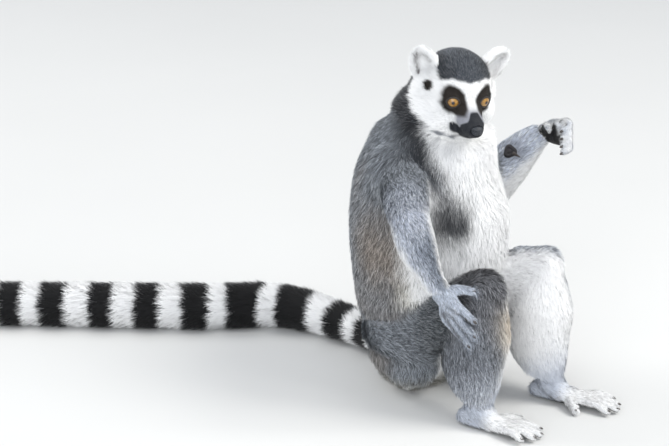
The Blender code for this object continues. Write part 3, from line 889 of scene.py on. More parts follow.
PELTS = {
    "head": Pelt(3.0, 6.5, 0.42, 64000, 4.0, 0.22, 0.12, 0.95),
    "ear": Pelt(1.8, 7.2, 0.42, 24000, 4.0, 0.36, 0.34, 1.6),
    "neck": Pelt(5.5, 12.0, 0.58, 28000, 6.0, 0.35, 0.20, 1.1),
    "chest": Pelt(6.5, 13.0, 0.58, 64000, 5.5, 0.24, 0.14, 1.05),
    "belly": Pelt(6.5, 13.0, 0.60, 54000, 6.0, 0.28, 0.15, 1.05),
    "upper_arm": Pelt(5.0, 11.0, 0.56, 30000, 5.5, 0.28),
    "forearm": Pelt(3.2, 7.5, 0.46, 28000, 4.0, 0.22, 0.14),
    "hand": Pelt(1.1, 5.0, 0.40, 15000, 3.0, 0.25, 0.22, 1.5),
    "thigh": Pelt(5.5, 12.0, 0.58, 50000, 6.0, 0.28),
    "shank": Pelt(4.5, 10.0, 0.55, 50000, 5.0, 0.26),
    "foot": Pelt(1.6, 6.0, 0.42, 16000, 3.5, 0.30, 0.24, 1.4),
    "tail": Pelt(8.0, 15.0, 0.64, 74000, 5.5, 0.30, 0.24, 1.25),
}


@dataclass
class Fields:
    """What the coat reads from the skin: one row a vertex, triangles, and their corners on the unwrap."""

    place: Array
    normal: Array
    flow: Array
    part: Array
    depth: Array
    length: Array
    colour: Array
    grizzle: Array
    bare: Array
    faces: Array
    unwrap: Array


@dataclass
class Skin:
    """One continuous skin over every flesh node, with lids, lips and bare leather."""

    FINE = ("head", "ear", "hand", "foot")             # kinds whose coat is too short to hide a coarse skin
    CREASES = (("upper_arm", 34.0), ("thigh", 52.0))   # limbs eased into the trunk, and how far around, mm
    SINK = 1.8          # how far the skin lies under an eyeball's surface, mm
    OVERLAP = 1.12      # how far past the opening the lids start, as a share of its half angles
    LIP = 2.4           # how far the middle of the upper lip lies above the line of the mouth, mm
    LIP_LINE, LIP_ROLL = (1.1, 0.9), (0.35, 1.5)       # depth and width of the line, then of the lip, mm
    # Depth and length of the head's coat, mm: to start with, then what ruff, face and snout add
    HEAD_COAT = ((3.0, 4.2, -2.5, -0.6), (6.0, 5.5, -3.0, -1.8))
    LID_COAT = (0.1, 1.5)                              # depth and length on the lids, mm
    DIGITS = {"hand": 0.55, "foot": 0.5}               # how much shorter the coat is at their tips
    MUZZLE_TIP = (0.0, 50.0, -6.0)                     # the head's coat lies away from here, mm
    BACKWARD, EAR_OUT, EAR_BACK = 0.35, 0.45, 0.25     # how much it lies back, and the ears' out and back
    SPREADING = 40 * MM                                # below this height the trunk's coat spreads outward

    anatomy: Anatomy
    markings: Markings
    voxel: float = 1.25 * MM
    swell: float = 0.3 * MM
    lid: float = 0.9 * MM              # thickness of the lids over the eyes
    count: int = 72000                 # vertices kept
    relaxing: int = 7                  # rounds that smooth the joined solids
    easing: int = 80                   # rounds that fill the creases of the limbs
    piece: bpy.types.Object = field(init=False)

    def build(self) -> Fields:
        """Makes the skin, and returns what the coat needs."""
        self.piece = self._fused()
        mesh = self.piece.data
        web = Web(mesh)
        set_points(mesh, self._eased(web.relax(mesh_points(mesh), self.relaxing), web))
        self._thin()
        self._refine()
        self._open_eyes()
        self._part_lips()
        fields = self._fields()
        set_points(mesh, fields.place)
        self._store(fields)
        fields.unwrap = self._unwrapped()
        self._dress()
        return fields

    def _fused(self) -> bpy.types.Object:
        """Swollen copies of the nodes, joined and remeshed into one surface."""
        bpy.ops.object.select_all(action="DESELECT")
        for name in (*FLESH, *EYES):
            copy = bpy.data.objects.new("skin_" + name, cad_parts[name].data.copy())
            bpy.context.collection.objects.link(copy)
            copy.select_set(True)
            bpy.context.view_layer.objects.active = copy
            bm = bmesh.new()
            bm.from_mesh(copy.data)
            bmesh.ops.remove_doubles(bm, verts=bm.verts, dist=0.002 * MM)
            bm.normal_update()
            for vertex in bm.verts:
                vertex.co += vertex.normal * (self.lid if name in EYES else self.swell)
            bm.to_mesh(copy.data)
            bm.free()
        bpy.ops.object.join()
        skin = bpy.context.object
        skin.name = skin.data.name = "skin"
        skin.data.materials.clear()
        self._modify(skin, "REMESH", mode="VOXEL", voxel_size=self.voxel)
        return skin

    def _eased(self, points: Array, web: Web) -> Array:
        """Fills the creases where shoulders and haunches run into the trunk."""
        share = np.zeros(len(points))
        for side in Side:
            for kind, reach in self.CREASES:
                start = self.anatomy.limbs[f"{kind}_{side.word}"].start
                away = np.linalg.norm(points - start, axis=1) / (reach * MM)
                share = np.maximum(share, np.exp(-away ** 4))
        return web.smooth(points, self.easing, 0.5 * share)

    @staticmethod
    def _modify(piece: bpy.types.Object, kind: str, **settings: object) -> None:
        """Adds one modifier and applies it."""
        modifier = piece.modifiers.new(kind.lower(), kind)
        for name, value in settings.items():
            setattr(modifier, name, value)
        bpy.context.view_layer.objects.active = piece
        bpy.ops.object.modifier_apply(modifier=modifier.name)

    def _parts(self, points: Array) -> Array:
        """The part nearest to each place."""
        vertices, triangles, owner = [], [], []
        for index, name in enumerate(FLESH):
            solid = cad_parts[name].data
            base = len(vertices)
            vertices += [vertex.co for vertex in solid.vertices]
            triangles += [[base + corner for corner in face.vertices] for face in solid.polygons]
            owner += [index] * len(solid.polygons)
        tree = BVHTree.FromPolygons(vertices, triangles)
        return np.array([owner[tree.find_nearest(point)[2]] for point in points])

    def _thin(self) -> None:
        """Takes vertices out where deep coat will hide the skin."""
        mesh = self.piece.data
        points = mesh_points(mesh)
        parts = self._parts(points)
        fine = [index for index, name in enumerate(FLESH) if kind_of(name) in self.FINE]
        group = self.piece.vertex_groups.new(name="coarse")
        group.add([int(index) for index in np.flatnonzero(~np.isin(parts, fine))], 1.0, "REPLACE")
        ratio = min(1.0, self.count / len(points))
        self._modify(self.piece, "DECIMATE", ratio=ratio, vertex_group="coarse", vertex_group_factor=10.0)
        self.piece.vertex_groups.clear()

    def _refine(self) -> None:
        """Halves the faces of the face, around eyes and lips."""
        bm = bmesh.new()
        bm.from_mesh(self.piece.data)
        local = self.anatomy.head.local(np.array([vertex.co for vertex in bm.verts]))
        near = (local[:, 1] > 12.0) & (np.abs(local[:, 0]) < 30.0) & (np.abs(local[:, 2]) < 30.0)
        bm.verts.ensure_lookup_table()
        edges = [edge for edge in bm.edges if near[edge.verts[0].index] and near[edge.verts[1].index]]
        bmesh.ops.subdivide_edges(bm, edges=edges, cuts=1, use_grid_fill=True, smooth=0.0)
        bmesh.ops.triangulate(bm, faces=bm.faces)
        bm.to_mesh(self.piece.data)
        bm.free()

    def _eye_angles(self, local: Array, sign: int) -> tuple[Array, Array, Array]:
        """Where places lie from one eye.

        Args:
            local: places in the head's axes, mm.
            sign: -1 for the right eye, 1 for the left.

        Returns:
            The offset from the eye's middle, the share of the opening's half angles, and whether it is in
            front.
        """
        turn = math.radians(EYE_SPLAY) * sign
        gaze = np.array([math.sin(turn), math.cos(turn), 0.0])
        beside = np.array([math.cos(turn), -math.sin(turn), 0.0])
        offset = local - self.anatomy.head.local(self.anatomy.head.eyes[(sign + 1) // 2][None])[0]
        ahead = offset @ gaze
        across = np.degrees(np.arctan2(offset @ beside, ahead)) / EYE_OPENING[0]
        rise = np.degrees(np.arctan2(offset[:, 2], ahead)) / EYE_OPENING[1]
        return offset, np.sqrt(across ** 2 + rise ** 2), ahead > 0

    def _open_eyes(self) -> None:
        """Sinks the skin under the eyeballs inside the lids, and rounds the lids over them."""
        mesh = self.piece.data
        points = mesh_points(mesh)
        local = self.anatomy.head.local(points)
        radius = (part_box(EYES[0])[1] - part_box(EYES[0])[0]).z / 2 / MM
        for side in Side:
            offset, share, ahead = self._eye_angles(local, side.value)
            distance = np.linalg.norm(offset, axis=1)
            near = ahead & (distance < radius + 7.0)
            lids = smooth_step(0.9, self.OVERLAP, share)
            under = radius - self.SINK + (self.lid / MM + self.SINK) * lids
            wanted = np.where(share < self.OVERLAP, under, np.maximum(distance, radius + self.lid / MM))
            local[near] += offset[near] * (wanted / distance - 1.0)[near, None]
        moved = self.anatomy.head.middle + MM * local @ self.anatomy.head.axes
        set_points(mesh, moved)

    def _part_lips(self) -> None:
        """Presses the line of the mouth into the muzzle, with a soft lip above it."""
        mesh = self.piece.data
        points = mesh_points(mesh)
        local = self.anatomy.head.local(points)
        distance = path_distance(mirrored(local), MOUTH)
        above = path_distance(mirrored(local) - (0.0, 0.0, self.LIP), MOUTH)
        (deep, narrow), (high, broad) = self.LIP_LINE, self.LIP_ROLL
        shift = -deep * np.exp(-(distance / narrow) ** 2) + high * np.exp(-(above / broad) ** 2)
        normals = self._normals(mesh)
        set_points(mesh, points + normals * shift[:, None] * MM)

    @staticmethod
    def _normals(mesh: bpy.types.Mesh) -> Array:
        """The normal of each vertex."""
        flat = np.empty(len(mesh.vertices) * 3, dtype=np.float32)
        mesh.vertex_normals.foreach_get("vector", flat)
        return flat.reshape(-1, 3).astype(float)

    def _flow(self, points: Array, parts: Array, normals: Array, web: Web) -> Array:
        """The lie of the coat at each vertex: along limbs, down the trunk, back from the nose."""
        flow = np.tile((0.0, 0.0, -1.0), (len(points), 1))
        head = self.anatomy.head
        for index, name in enumerate(FLESH):
            rows = parts == index
            kind = kind_of(name)
            if kind == "head":
                away = unit(points[rows] - head.world(*self.MUZZLE_TIP))
                flow[rows] = away - self.BACKWARD * head.axes[1]
            elif kind == "ear":
                aside = head.local(points[rows])[:, 0:1]
                outward = self.EAR_OUT * np.sign(aside) * head.axes[0]
                flow[rows] = head.axes[2] + outward - self.EAR_BACK * head.axes[1]
            elif kind in ("chest", "belly", "neck"):
                around = unit(points[rows] * (1.0, 1.0, 0.0))
                spread = smooth_step(self.SPREADING, 0.0, points[rows, 2])[:, None] * 2.0
                flow[rows] = (0.0, 0.0, -1.0) + around * spread
            else:
                flow[rows] = self.anatomy.limbs[name].axis
        flow = web.smooth(unit(flow), 14)
        flow -= (flow * normals).sum(axis=1, keepdims=True) * normals
        return unit(flow)

    def _coat_sizes(self, points: Array, parts: Array) -> tuple[Array, Array]:
        """Depth and length of the coat at each vertex, in millimetres."""
        kinds = [kind_of(name) for name in FLESH]
        depth = np.array([PELTS[kind].depth for kind in kinds])[parts]
        length = np.array([PELTS[kind].length for kind in kinds])[parts]
        local = self.anatomy.head.local(points)
        aside, forward, up = np.abs(local[:, 0]), local[:, 1], local[:, 2]
        on_head = parts == FLESH.index("head")
        face = smooth_step(8.0, 22.0, forward) * smooth_step(34.0, 22.0, aside)
        ruff = smooth_step(16.0, 28.0, aside) * smooth_step(12.0, -4.0, up) * smooth_step(26.0, 10.0, forward)
        snout = smooth_step(36.0, 44.0, forward)
        sizes = [start + ruffed * ruff + faced * face * (1.0 - ruff) + snouted * snout
                 for start, ruffed, faced, snouted in self.HEAD_COAT]
        for side in Side:
            lids = smooth_step(2.1, 1.2, self._eye_angles(local, side.value)[1]) * (forward > 12.0)
            sizes = [size * (1.0 - lids) + short * lids for size, short in zip(sizes, self.LID_COAT)]
        depth[on_head], length[on_head] = (size[on_head] for size in sizes)
        fold = self.markings.throat(local)
        depth, length = depth * (1.0 + 0.35 * fold), length * (1.0 - 0.25 * fold)
        for side in Side:
            for kind, thin in self.DIGITS.items():
                name = f"{kind}_{side.word}"
                rows = parts == FLESH.index(name)
                share = self.anatomy.limbs[name].share(points[rows])
                taper = 1.0 - thin * smooth_step(0.25, 0.95, share)
                length[rows] *= taper
                depth[rows] *= taper
        return depth, length

    def _fields(self) -> Fields:
        """Reads and works out everything that varies over the skin."""
        mesh = self.piece.data
        web = Web(mesh)
        outer = mesh_points(mesh)
        parts = self._parts(outer)
        sharp = self._normals(mesh)
        normals = unit(web.smooth(sharp, 3))
        depth, length = self._coat_sizes(outer, parts)
        still = parts == FLESH.index("head")
        spread = np.where(still & (self.anatomy.head.local(outer)[:, 1] > 14.0), 0.1, 0.5)
        depth = web.smooth(depth, 16, spread)
        length = web.smooth(length, 12, spread)
        colour, grizzle, bare = self.markings.read(outer, sharp, parts)
        exact = np.isin(parts, [index for index, name in enumerate(FLESH)
                                if kind_of(name) in (*self.FINE, "tail")])
        blur = np.where(exact, 0.0, 0.5)
        colour, grizzle = web.smooth(colour, 5, blur), web.smooth(grizzle, 5, blur)
        depth *= 1.0 - 0.85 * bare
        place = outer - normals * depth[:, None] * MM
        place = web.smooth(place, 2, np.where(exact, 0.0, 0.4))
        place[:, 2] = np.maximum(place[:, 2], GROUND)
        flow = self._flow(outer, parts, normals, web)
        faces = np.empty(len(mesh.polygons) * 3, dtype=np.int32)
        mesh.polygons.foreach_get("vertices", faces)
        return Fields(place, normals, flow, parts, depth * MM, length * MM, colour, grizzle, bare,
                      faces.reshape(-1, 3), np.empty(0))

    def _store(self, fields: Fields) -> None:
        """Keeps the markings on the mesh for the material, painted darker where the coat covers the skin, as
        painted shade under the coat.
        """
        mesh = self.piece.data
        store_colour(mesh, "coat_colour", mix(fields.colour * 0.8, fields.colour, fields.bare))
        store_number(mesh, "bare", fields.bare)

    def _unwrapped(self) -> Array:
        """Unwraps the skin, and returns the corners of its triangles on the unwrap."""
        mesh = self.piece.data
        bpy.context.view_layer.objects.active = self.piece
        mesh.uv_layers.new(name="OFBake")
        bpy.ops.object.mode_set(mode="EDIT")
        bpy.ops.mesh.select_all(action="SELECT")
        bpy.ops.uv.smart_project(angle_limit=math.radians(66), island_margin=0.003)
        bpy.ops.object.mode_set(mode="OBJECT")
        flat = np.empty(len(mesh.loops) * 2, dtype=np.float32)
        mesh.uv_layers["OFBake"].uv.foreach_get("vector", flat)
        return flat.reshape(-1, 3, 2)

    def _dress(self) -> None:
        """Fine pores and short hair under the coat, creased leather where the skin is bare."""
        shade = Shade("lemur_skin")
        bare = shade.attribute("bare", out=2)
        colour = shade.attribute("coat_colour")
        speckle = shade.noise(900.0, 3.0)
        tinted = shade.blend(speckle * 0.35, colour, (0.02, 0.02, 0.02))
        creases = shade.node("ShaderNodeTexVoronoi", {"feature": "DISTANCE_TO_EDGE"},
                             {"Vector": shade.place(), "Scale": 700.0})
        grain = bare * creases.ramp(0.0, 0.25) + (1.0 - bare) * speckle
        shade.surface(Base_Color=tinted, Roughness=0.85 - 0.42 * bare, Specular_IOR_Level=0.28,
                      Normal=shade.bump(grain, 0.25 * MM, 0.7))
        self.piece.data.materials.append(shade.material)
        bpy.ops.object.select_all(action="DESELECT")
        self.piece.select_set(True)
        bpy.context.view_layer.objects.active = self.piece
        bpy.ops.object.shade_smooth()
        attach(self.piece, "root")
        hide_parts(*FLESH)
        LOG.info("skin: %d triangles", len(self.piece.data.polygons))


def store_colour(mesh: bpy.types.Mesh, name: str, colour: Array) -> None:
    """Writes a colour to each vertex."""
    layer = mesh.attributes.new(name, "FLOAT_COLOR", "POINT")
    filled = np.ones((len(colour), 4), dtype=np.float32)
    filled[:, :3] = colour
    layer.data.foreach_set("color", filled.ravel())


def store_number(mesh: bpy.types.Mesh, name: str, number: Array) -> None:
    """Writes a number to each vertex."""
    layer = mesh.attributes.new(name, "FLOAT", "POINT")
    layer.data.foreach_set("value", np.ascontiguousarray(number, dtype=np.float32))


# ---- Coat ------------------------------------------------------------------------------------------------
STATIONS = (0.0, 0.55, 1.0)      # along a tuft
PROFILE = (1.0, 0.75, 0.0)       # how wide it is there
TUFTS_A_CLUMP = 14
BLACK_HAIRS, BLACK_TONE = 0.22, 0.34     # share of black hairs in a fully grizzled coat, and their tone
SILVER_HAIRS = 0.26                      # share of silver ones
FLOOR = 0.25 * MM                        # the lowest a tuft reaches


@dataclass
class Tufts:
    """Tufts before they become a mesh: middle lines, sides and colours, one a row."""

    lines: Array            # tuft, station, place
    sides: Array            # half widths as vectors, tuft, station, place
    normals: Array          # tuft, station, direction
    colours: Array          # tuft, station, colour
    corners: Array          # tuft, place on the unwrap


@dataclass
class Coat:
    """The coat of some body parts: thin solid tufts that lie along the body, in one mesh."""

    name: str
    parts: tuple[str, ...]
    seed: int
    fields: Fields
    material: bpy.types.Material
    patch: float = 0.003    # how wide a tuft is on the unwrap

    SWIRLS, SWIRL = Mottle(16 * MM, 5), 0.30    # noise that bends the lie of the coat, and how far, radians
    BRISTLE = 0.6                               # how much higher grizzled tufts stand on the head
    STEEPEST = 0.85                             # a tip's greatest height, as a share of the tuft's length
    BEND = 0.14                                 # how far tufts bend aside, as a share of their length
    ROOTED = 0.3                                # how far roots lie under the skin, mm

    def build(self) -> bpy.types.Object:
        """Grows the tufts of each part and joins them in one piece."""
        random = np.random.default_rng(self.seed)
        solids = [self._solid(self._grow(name, random)) for name in self.parts]
        points, faces, normals, colours, corners = zip(*solids)
        starts = np.cumsum([0, *map(len, points)])
        faces = [part + start for part, start in zip(faces, starts)]
        piece = self._mesh(*map(np.concatenate, (points, faces, normals, colours, corners)))
        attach(piece, "root")
        LOG.info("%s: %d triangles", self.name, len(piece.data.polygons))
        return piece

    def _grow(self, name: str, random: np.random.Generator) -> Tufts:
        """Roots, directions and shapes of the tufts of one part."""
        pelt = PELTS[kind_of(name)]
        fields = self.fields
        index = FLESH.index(name)
        rows = np.flatnonzero((fields.part[fields.faces] == index).sum(axis=1) >= 2)
        faces = fields.faces[rows]
        ends = fields.place[faces]
        area = np.linalg.norm(np.cross(ends[:, 1] - ends[:, 0], ends[:, 2] - ends[:, 0]), axis=1) / 2
        hairy = (1.0 - fields.bare[faces].mean(axis=1)) ** 2
        weight = area * hairy / fields.length[faces].mean(axis=1) ** 0.8
        kin = sum(kind_of(other) == kind_of(name) for other in FLESH)
        count = pelt.blades // kin
        chosen = random.choice(len(faces), count, p=weight / weight.sum())
        shares = random.random((count, 2))
        shares = np.where(shares.sum(axis=1, keepdims=True) > 1.0, 1.0 - shares, shares)
        shares = np.stack([1.0 - shares.sum(axis=1), shares[:, 0], shares[:, 1]], axis=1)
        picked = faces[chosen]

        def over(values: Array) -> Array:
            """Values at the roots, from the three corners."""
            if values.ndim == 1:
                return (values[picked] * shares).sum(axis=1)
            return (values[picked] * shares[:, :, None]).sum(axis=1)

        root, normal = over(fields.place), unit(over(fields.normal))
        flow, depth, length = over(fields.flow), over(fields.depth), over(fields.length)
        corner = (fields.unwrap[rows[chosen]] * shares[:, :, None]).sum(axis=1)
        vertex = picked[np.arange(count), random.integers(0, 3, count)]

        swirl = self.SWIRL * self.SWIRLS.at(root) + pelt.stray * random.standard_normal(count)
        flow = unit(flow - (flow * normal).sum(axis=1, keepdims=True) * normal)
        beside = np.cross(normal, flow)
        heading = np.cos(swirl)[:, None] * flow + np.sin(swirl)[:, None] * beside
        beside = np.cross(normal, heading)
        length = length * random.uniform(0.75, 1.2, count)
        height = (depth + 0.2 * MM) * pelt.lift * random.uniform(0.62, 1.12, count)
        if kind_of(name) == "head":
            height *= 1.0 + self.BRISTLE * over(fields.grizzle)
        height = np.minimum(height, self.STEEPEST * length)
        reach = np.sqrt(length ** 2 - height ** 2)
        bend = self.BEND * length * random.standard_normal(count)
        tip = root + heading * reach[:, None] + normal * height[:, None] + beside * bend[:, None]
        lean = self._lean(root, tip, pelt, random)
        if kind_of(name) in ("head", "tail"):
            vertex = self._under(root + heading * reach[:, None] * 0.45, np.unique(faces))
        colour, grizzle = fields.colour[vertex], fields.grizzle[vertex]

        stations = np.array(STATIONS)
        rise = np.sin(stations * math.pi / 2)
        lines = (root[:, None] - normal[:, None] * self.ROOTED * MM
                 + heading[:, None] * (reach[:, None] * stations)[..., None]
                 + normal[:, None] * (height[:, None] * rise)[..., None]
                 + beside[:, None] * (bend[:, None] * stations ** 2)[..., None]
                 + lean[:, None] * (stations ** 1.5)[None, :, None])
        roll = 0.5 * random.standard_normal(count)
        side = np.cos(roll)[:, None] * beside + np.sin(roll)[:, None] * normal
        full = np.clip(length / (pelt.length * MM), 0.45, 1.3)
        width = pelt.width * MM * random.uniform(0.7, 1.25, count) * full
        sides = side[:, None] * (width[:, None] * np.array(PROFILE) / 2)[..., None]
        facing = unit(np.cross(heading, side))
        normals = np.repeat(unit(0.75 * normal + 0.25 * facing)[:, None], len(stations), axis=1)
        return Tufts(lines, sides, normals, self._tint(colour, grizzle, stations, random), corner)

    def _under(self, points: Array, vertices: Array) -> Array:
        """Which of the skin's vertices lies nearest to each place."""
        tree = KDTree(len(vertices))
        for vertex in vertices:
            tree.insert(self.fields.place[vertex], int(vertex))
        tree.balance()
        return np.array([tree.find(point)[1] for point in points])

    @staticmethod
    def _lean(root: Array, tip: Array, pelt: Pelt, random: np.random.Generator) -> Array:
        """How far each tip leans to the middle of its clump."""
        wanted = max(4, len(root) // TUFTS_A_CLUMP)
        middles = random.choice(len(root), wanted, replace=False)
        tree = KDTree(wanted)
        for order, middle in enumerate(middles):
            tree.insert(root[middle], order)
        tree.balance()
        nearest = np.array([tree.find(point)[1] for point in root])
        toward = tip[middles[nearest]] - tip
        size = np.linalg.norm(toward, axis=1)
        limit = pelt.clump * MM
        toward *= (np.minimum(size, limit) / np.maximum(size, 1e-9))[:, None]
        return toward * pelt.gather * random.uniform(0.5, 1.3, len(root))[:, None]

    @staticmethod
    def _tint(colour: Array, grizzle: Array, stations: Array, random: np.random.Generator) -> Array:
        """Roots painted darker as painted shade deep in the coat, paler tips, and the black and silver hairs
        of a grizzled coat.
        """
        count = len(colour)
        draw = random.random(count)
        bright = colour @ np.array([0.3, 0.6, 0.1])
        tone = 1.0 + random.uniform(-0.16, 0.12, count) * (1.0 - 0.45 * bright)
        tone = np.where(draw < BLACK_HAIRS * grizzle, BLACK_TONE, tone)
        silver = (draw > 1.0 - SILVER_HAIRS * grizzle)[:, None, None]
        # painted shade: each tuft darkens toward its root, more for dark coats
        root = 0.50 + 0.41 * bright
        shade = root[:, None] + (1.04 - root[:, None]) * stations ** 0.7
        tinted = colour[:, None] * (tone[:, None] * shade)[..., None]
        pale = tinted + (0.16 + 0.9 * tinted) * (stations[None, :, None] ** 1.5)
        return np.clip(np.where(silver, pale, tinted), 0.0, 0.97)

    def _solid(self, tufts: Tufts) -> tuple[Array, Array, Array, Array, Array]:
        """Turns tufts into vertices, triangles, normals, colours and places on the unwrap."""
        pairs = len(STATIONS) - 1
        count, per = len(tufts.lines), 2 * pairs + 1
        points = np.empty((count, per, 3))
        points[:, 0:-1:2] = tufts.lines[:, :-1] - tufts.sides[:, :-1]
        points[:, 1:-1:2] = tufts.lines[:, :-1] + tufts.sides[:, :-1]
        points[:, -1] = tufts.lines[:, -1]
        points[..., 2] = np.maximum(points[..., 2], FLOOR)
        station = np.array([step for pair in range(pairs) for step in (pair, pair)] + [pairs])
        lean = np.array([-0.3, 0.3] * pairs + [0.0])
        across = unit(tufts.sides[:, :1])
        normals = unit(tufts.normals[:, station] + across * lean[None, :, None])
        shape = []
        for pair in range(pairs - 1):
            near, far = 2 * pair, 2 * pair + 2
            shape += [(near, far, far + 1), (near, far + 1, near + 1)]
        shape.append((per - 3, per - 1, per - 2))
        faces = np.array(shape)[None] + (np.arange(count) * per)[:, None, None]
        spots = [[(step % 2 - 0.5) * 0.9, step // 2 / pairs - 0.5] for step in range(per - 1)]
        spots = np.array([*spots, [0, 0.5]])
        corners = tufts.corners[:, None] + spots[None] * self.patch
        return (points.reshape(-1, 3), faces.reshape(-1, 3), normals.reshape(-1, 3),
                tufts.colours[:, station].reshape(-1, 3), np.clip(corners, 0.0, 1.0).reshape(-1, 2))

    def _mesh(self, points: Array, faces: Array, normals: Array, colours: Array,
              corners: Array) -> bpy.types.Object:
        """Makes the piece from its arrays."""
        mesh = bpy.data.meshes.new(self.name)
        mesh.vertices.add(len(points))
        mesh.loops.add(faces.size)
        mesh.polygons.add(len(faces))
        mesh.vertices.foreach_set("co", points.astype(np.float32).ravel())
        mesh.loops.foreach_set("vertex_index", faces.astype(np.int32).ravel())
        mesh.polygons.foreach_set("loop_start", np.arange(0, faces.size, 3, dtype=np.int32))
        mesh.polygons.foreach_set("use_smooth", np.ones(len(faces), dtype=bool))
        mesh.update()
        unwrap = mesh.uv_layers.new(name="OFBake")
        unwrap.uv.foreach_set("vector", corners[faces.ravel()].astype(np.float32).ravel())
        store_colour(mesh, "coat_colour", colours)
        mesh.normals_split_custom_set_from_vertices(normals)
        mesh.materials.append(self.material)
        piece = bpy.data.objects.new(self.name, mesh)
        bpy.context.collection.objects.link(piece)
        return piece


def coat_finish() -> bpy.types.Material:
    """Soft dry hair in the markings' colours, with a faint sheen."""
    shade = Shade("lemur_coat")
    colour = shade.attribute("coat_colour")
    streaks = shade.noise(1400.0, 2.0)
    shade.surface(Base_Color=colour, Roughness=0.62 + 0.2 * streaks, Specular_IOR_Level=0.22,
                  Sheen_Weight=0.12, Sheen_Roughness=0.5)
    return shade.material


# ---- Eyes, nose, nails and gland -------------------------------------------------------------------------
def start_modelling() -> None:
    """Deselects everything before a primitive is added."""
    if bpy.context.object and bpy.context.object.mode != "OBJECT":
        bpy.ops.object.mode_set(mode="OBJECT")
    bpy.ops.object.select_all(action="DESELECT")


def finish_piece(name: str, material: bpy.types.Material, replaced: str = "") -> bpy.types.Object:
    """Settles the active object's place into its mesh, dresses it and hands it to the frame.

    Args:
        name: the piece's name.
        material: its finish.
        replaced: the node it stands for, if any.

    Returns:
        The piece.
    """
    piece = bpy.context.object
    piece.name = piece.data.name = name
    bpy.ops.object.transform_apply(location=True, rotation=True, scale=True)
    bpy.ops.object.shade_smooth()
    piece.data.materials.clear()
    piece.data.materials.append(material)
    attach(piece, "root")
    if replaced:
        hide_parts(replaced)
    LOG.info("%s: %d faces", name, len(piece.data.polygons))
    return piece


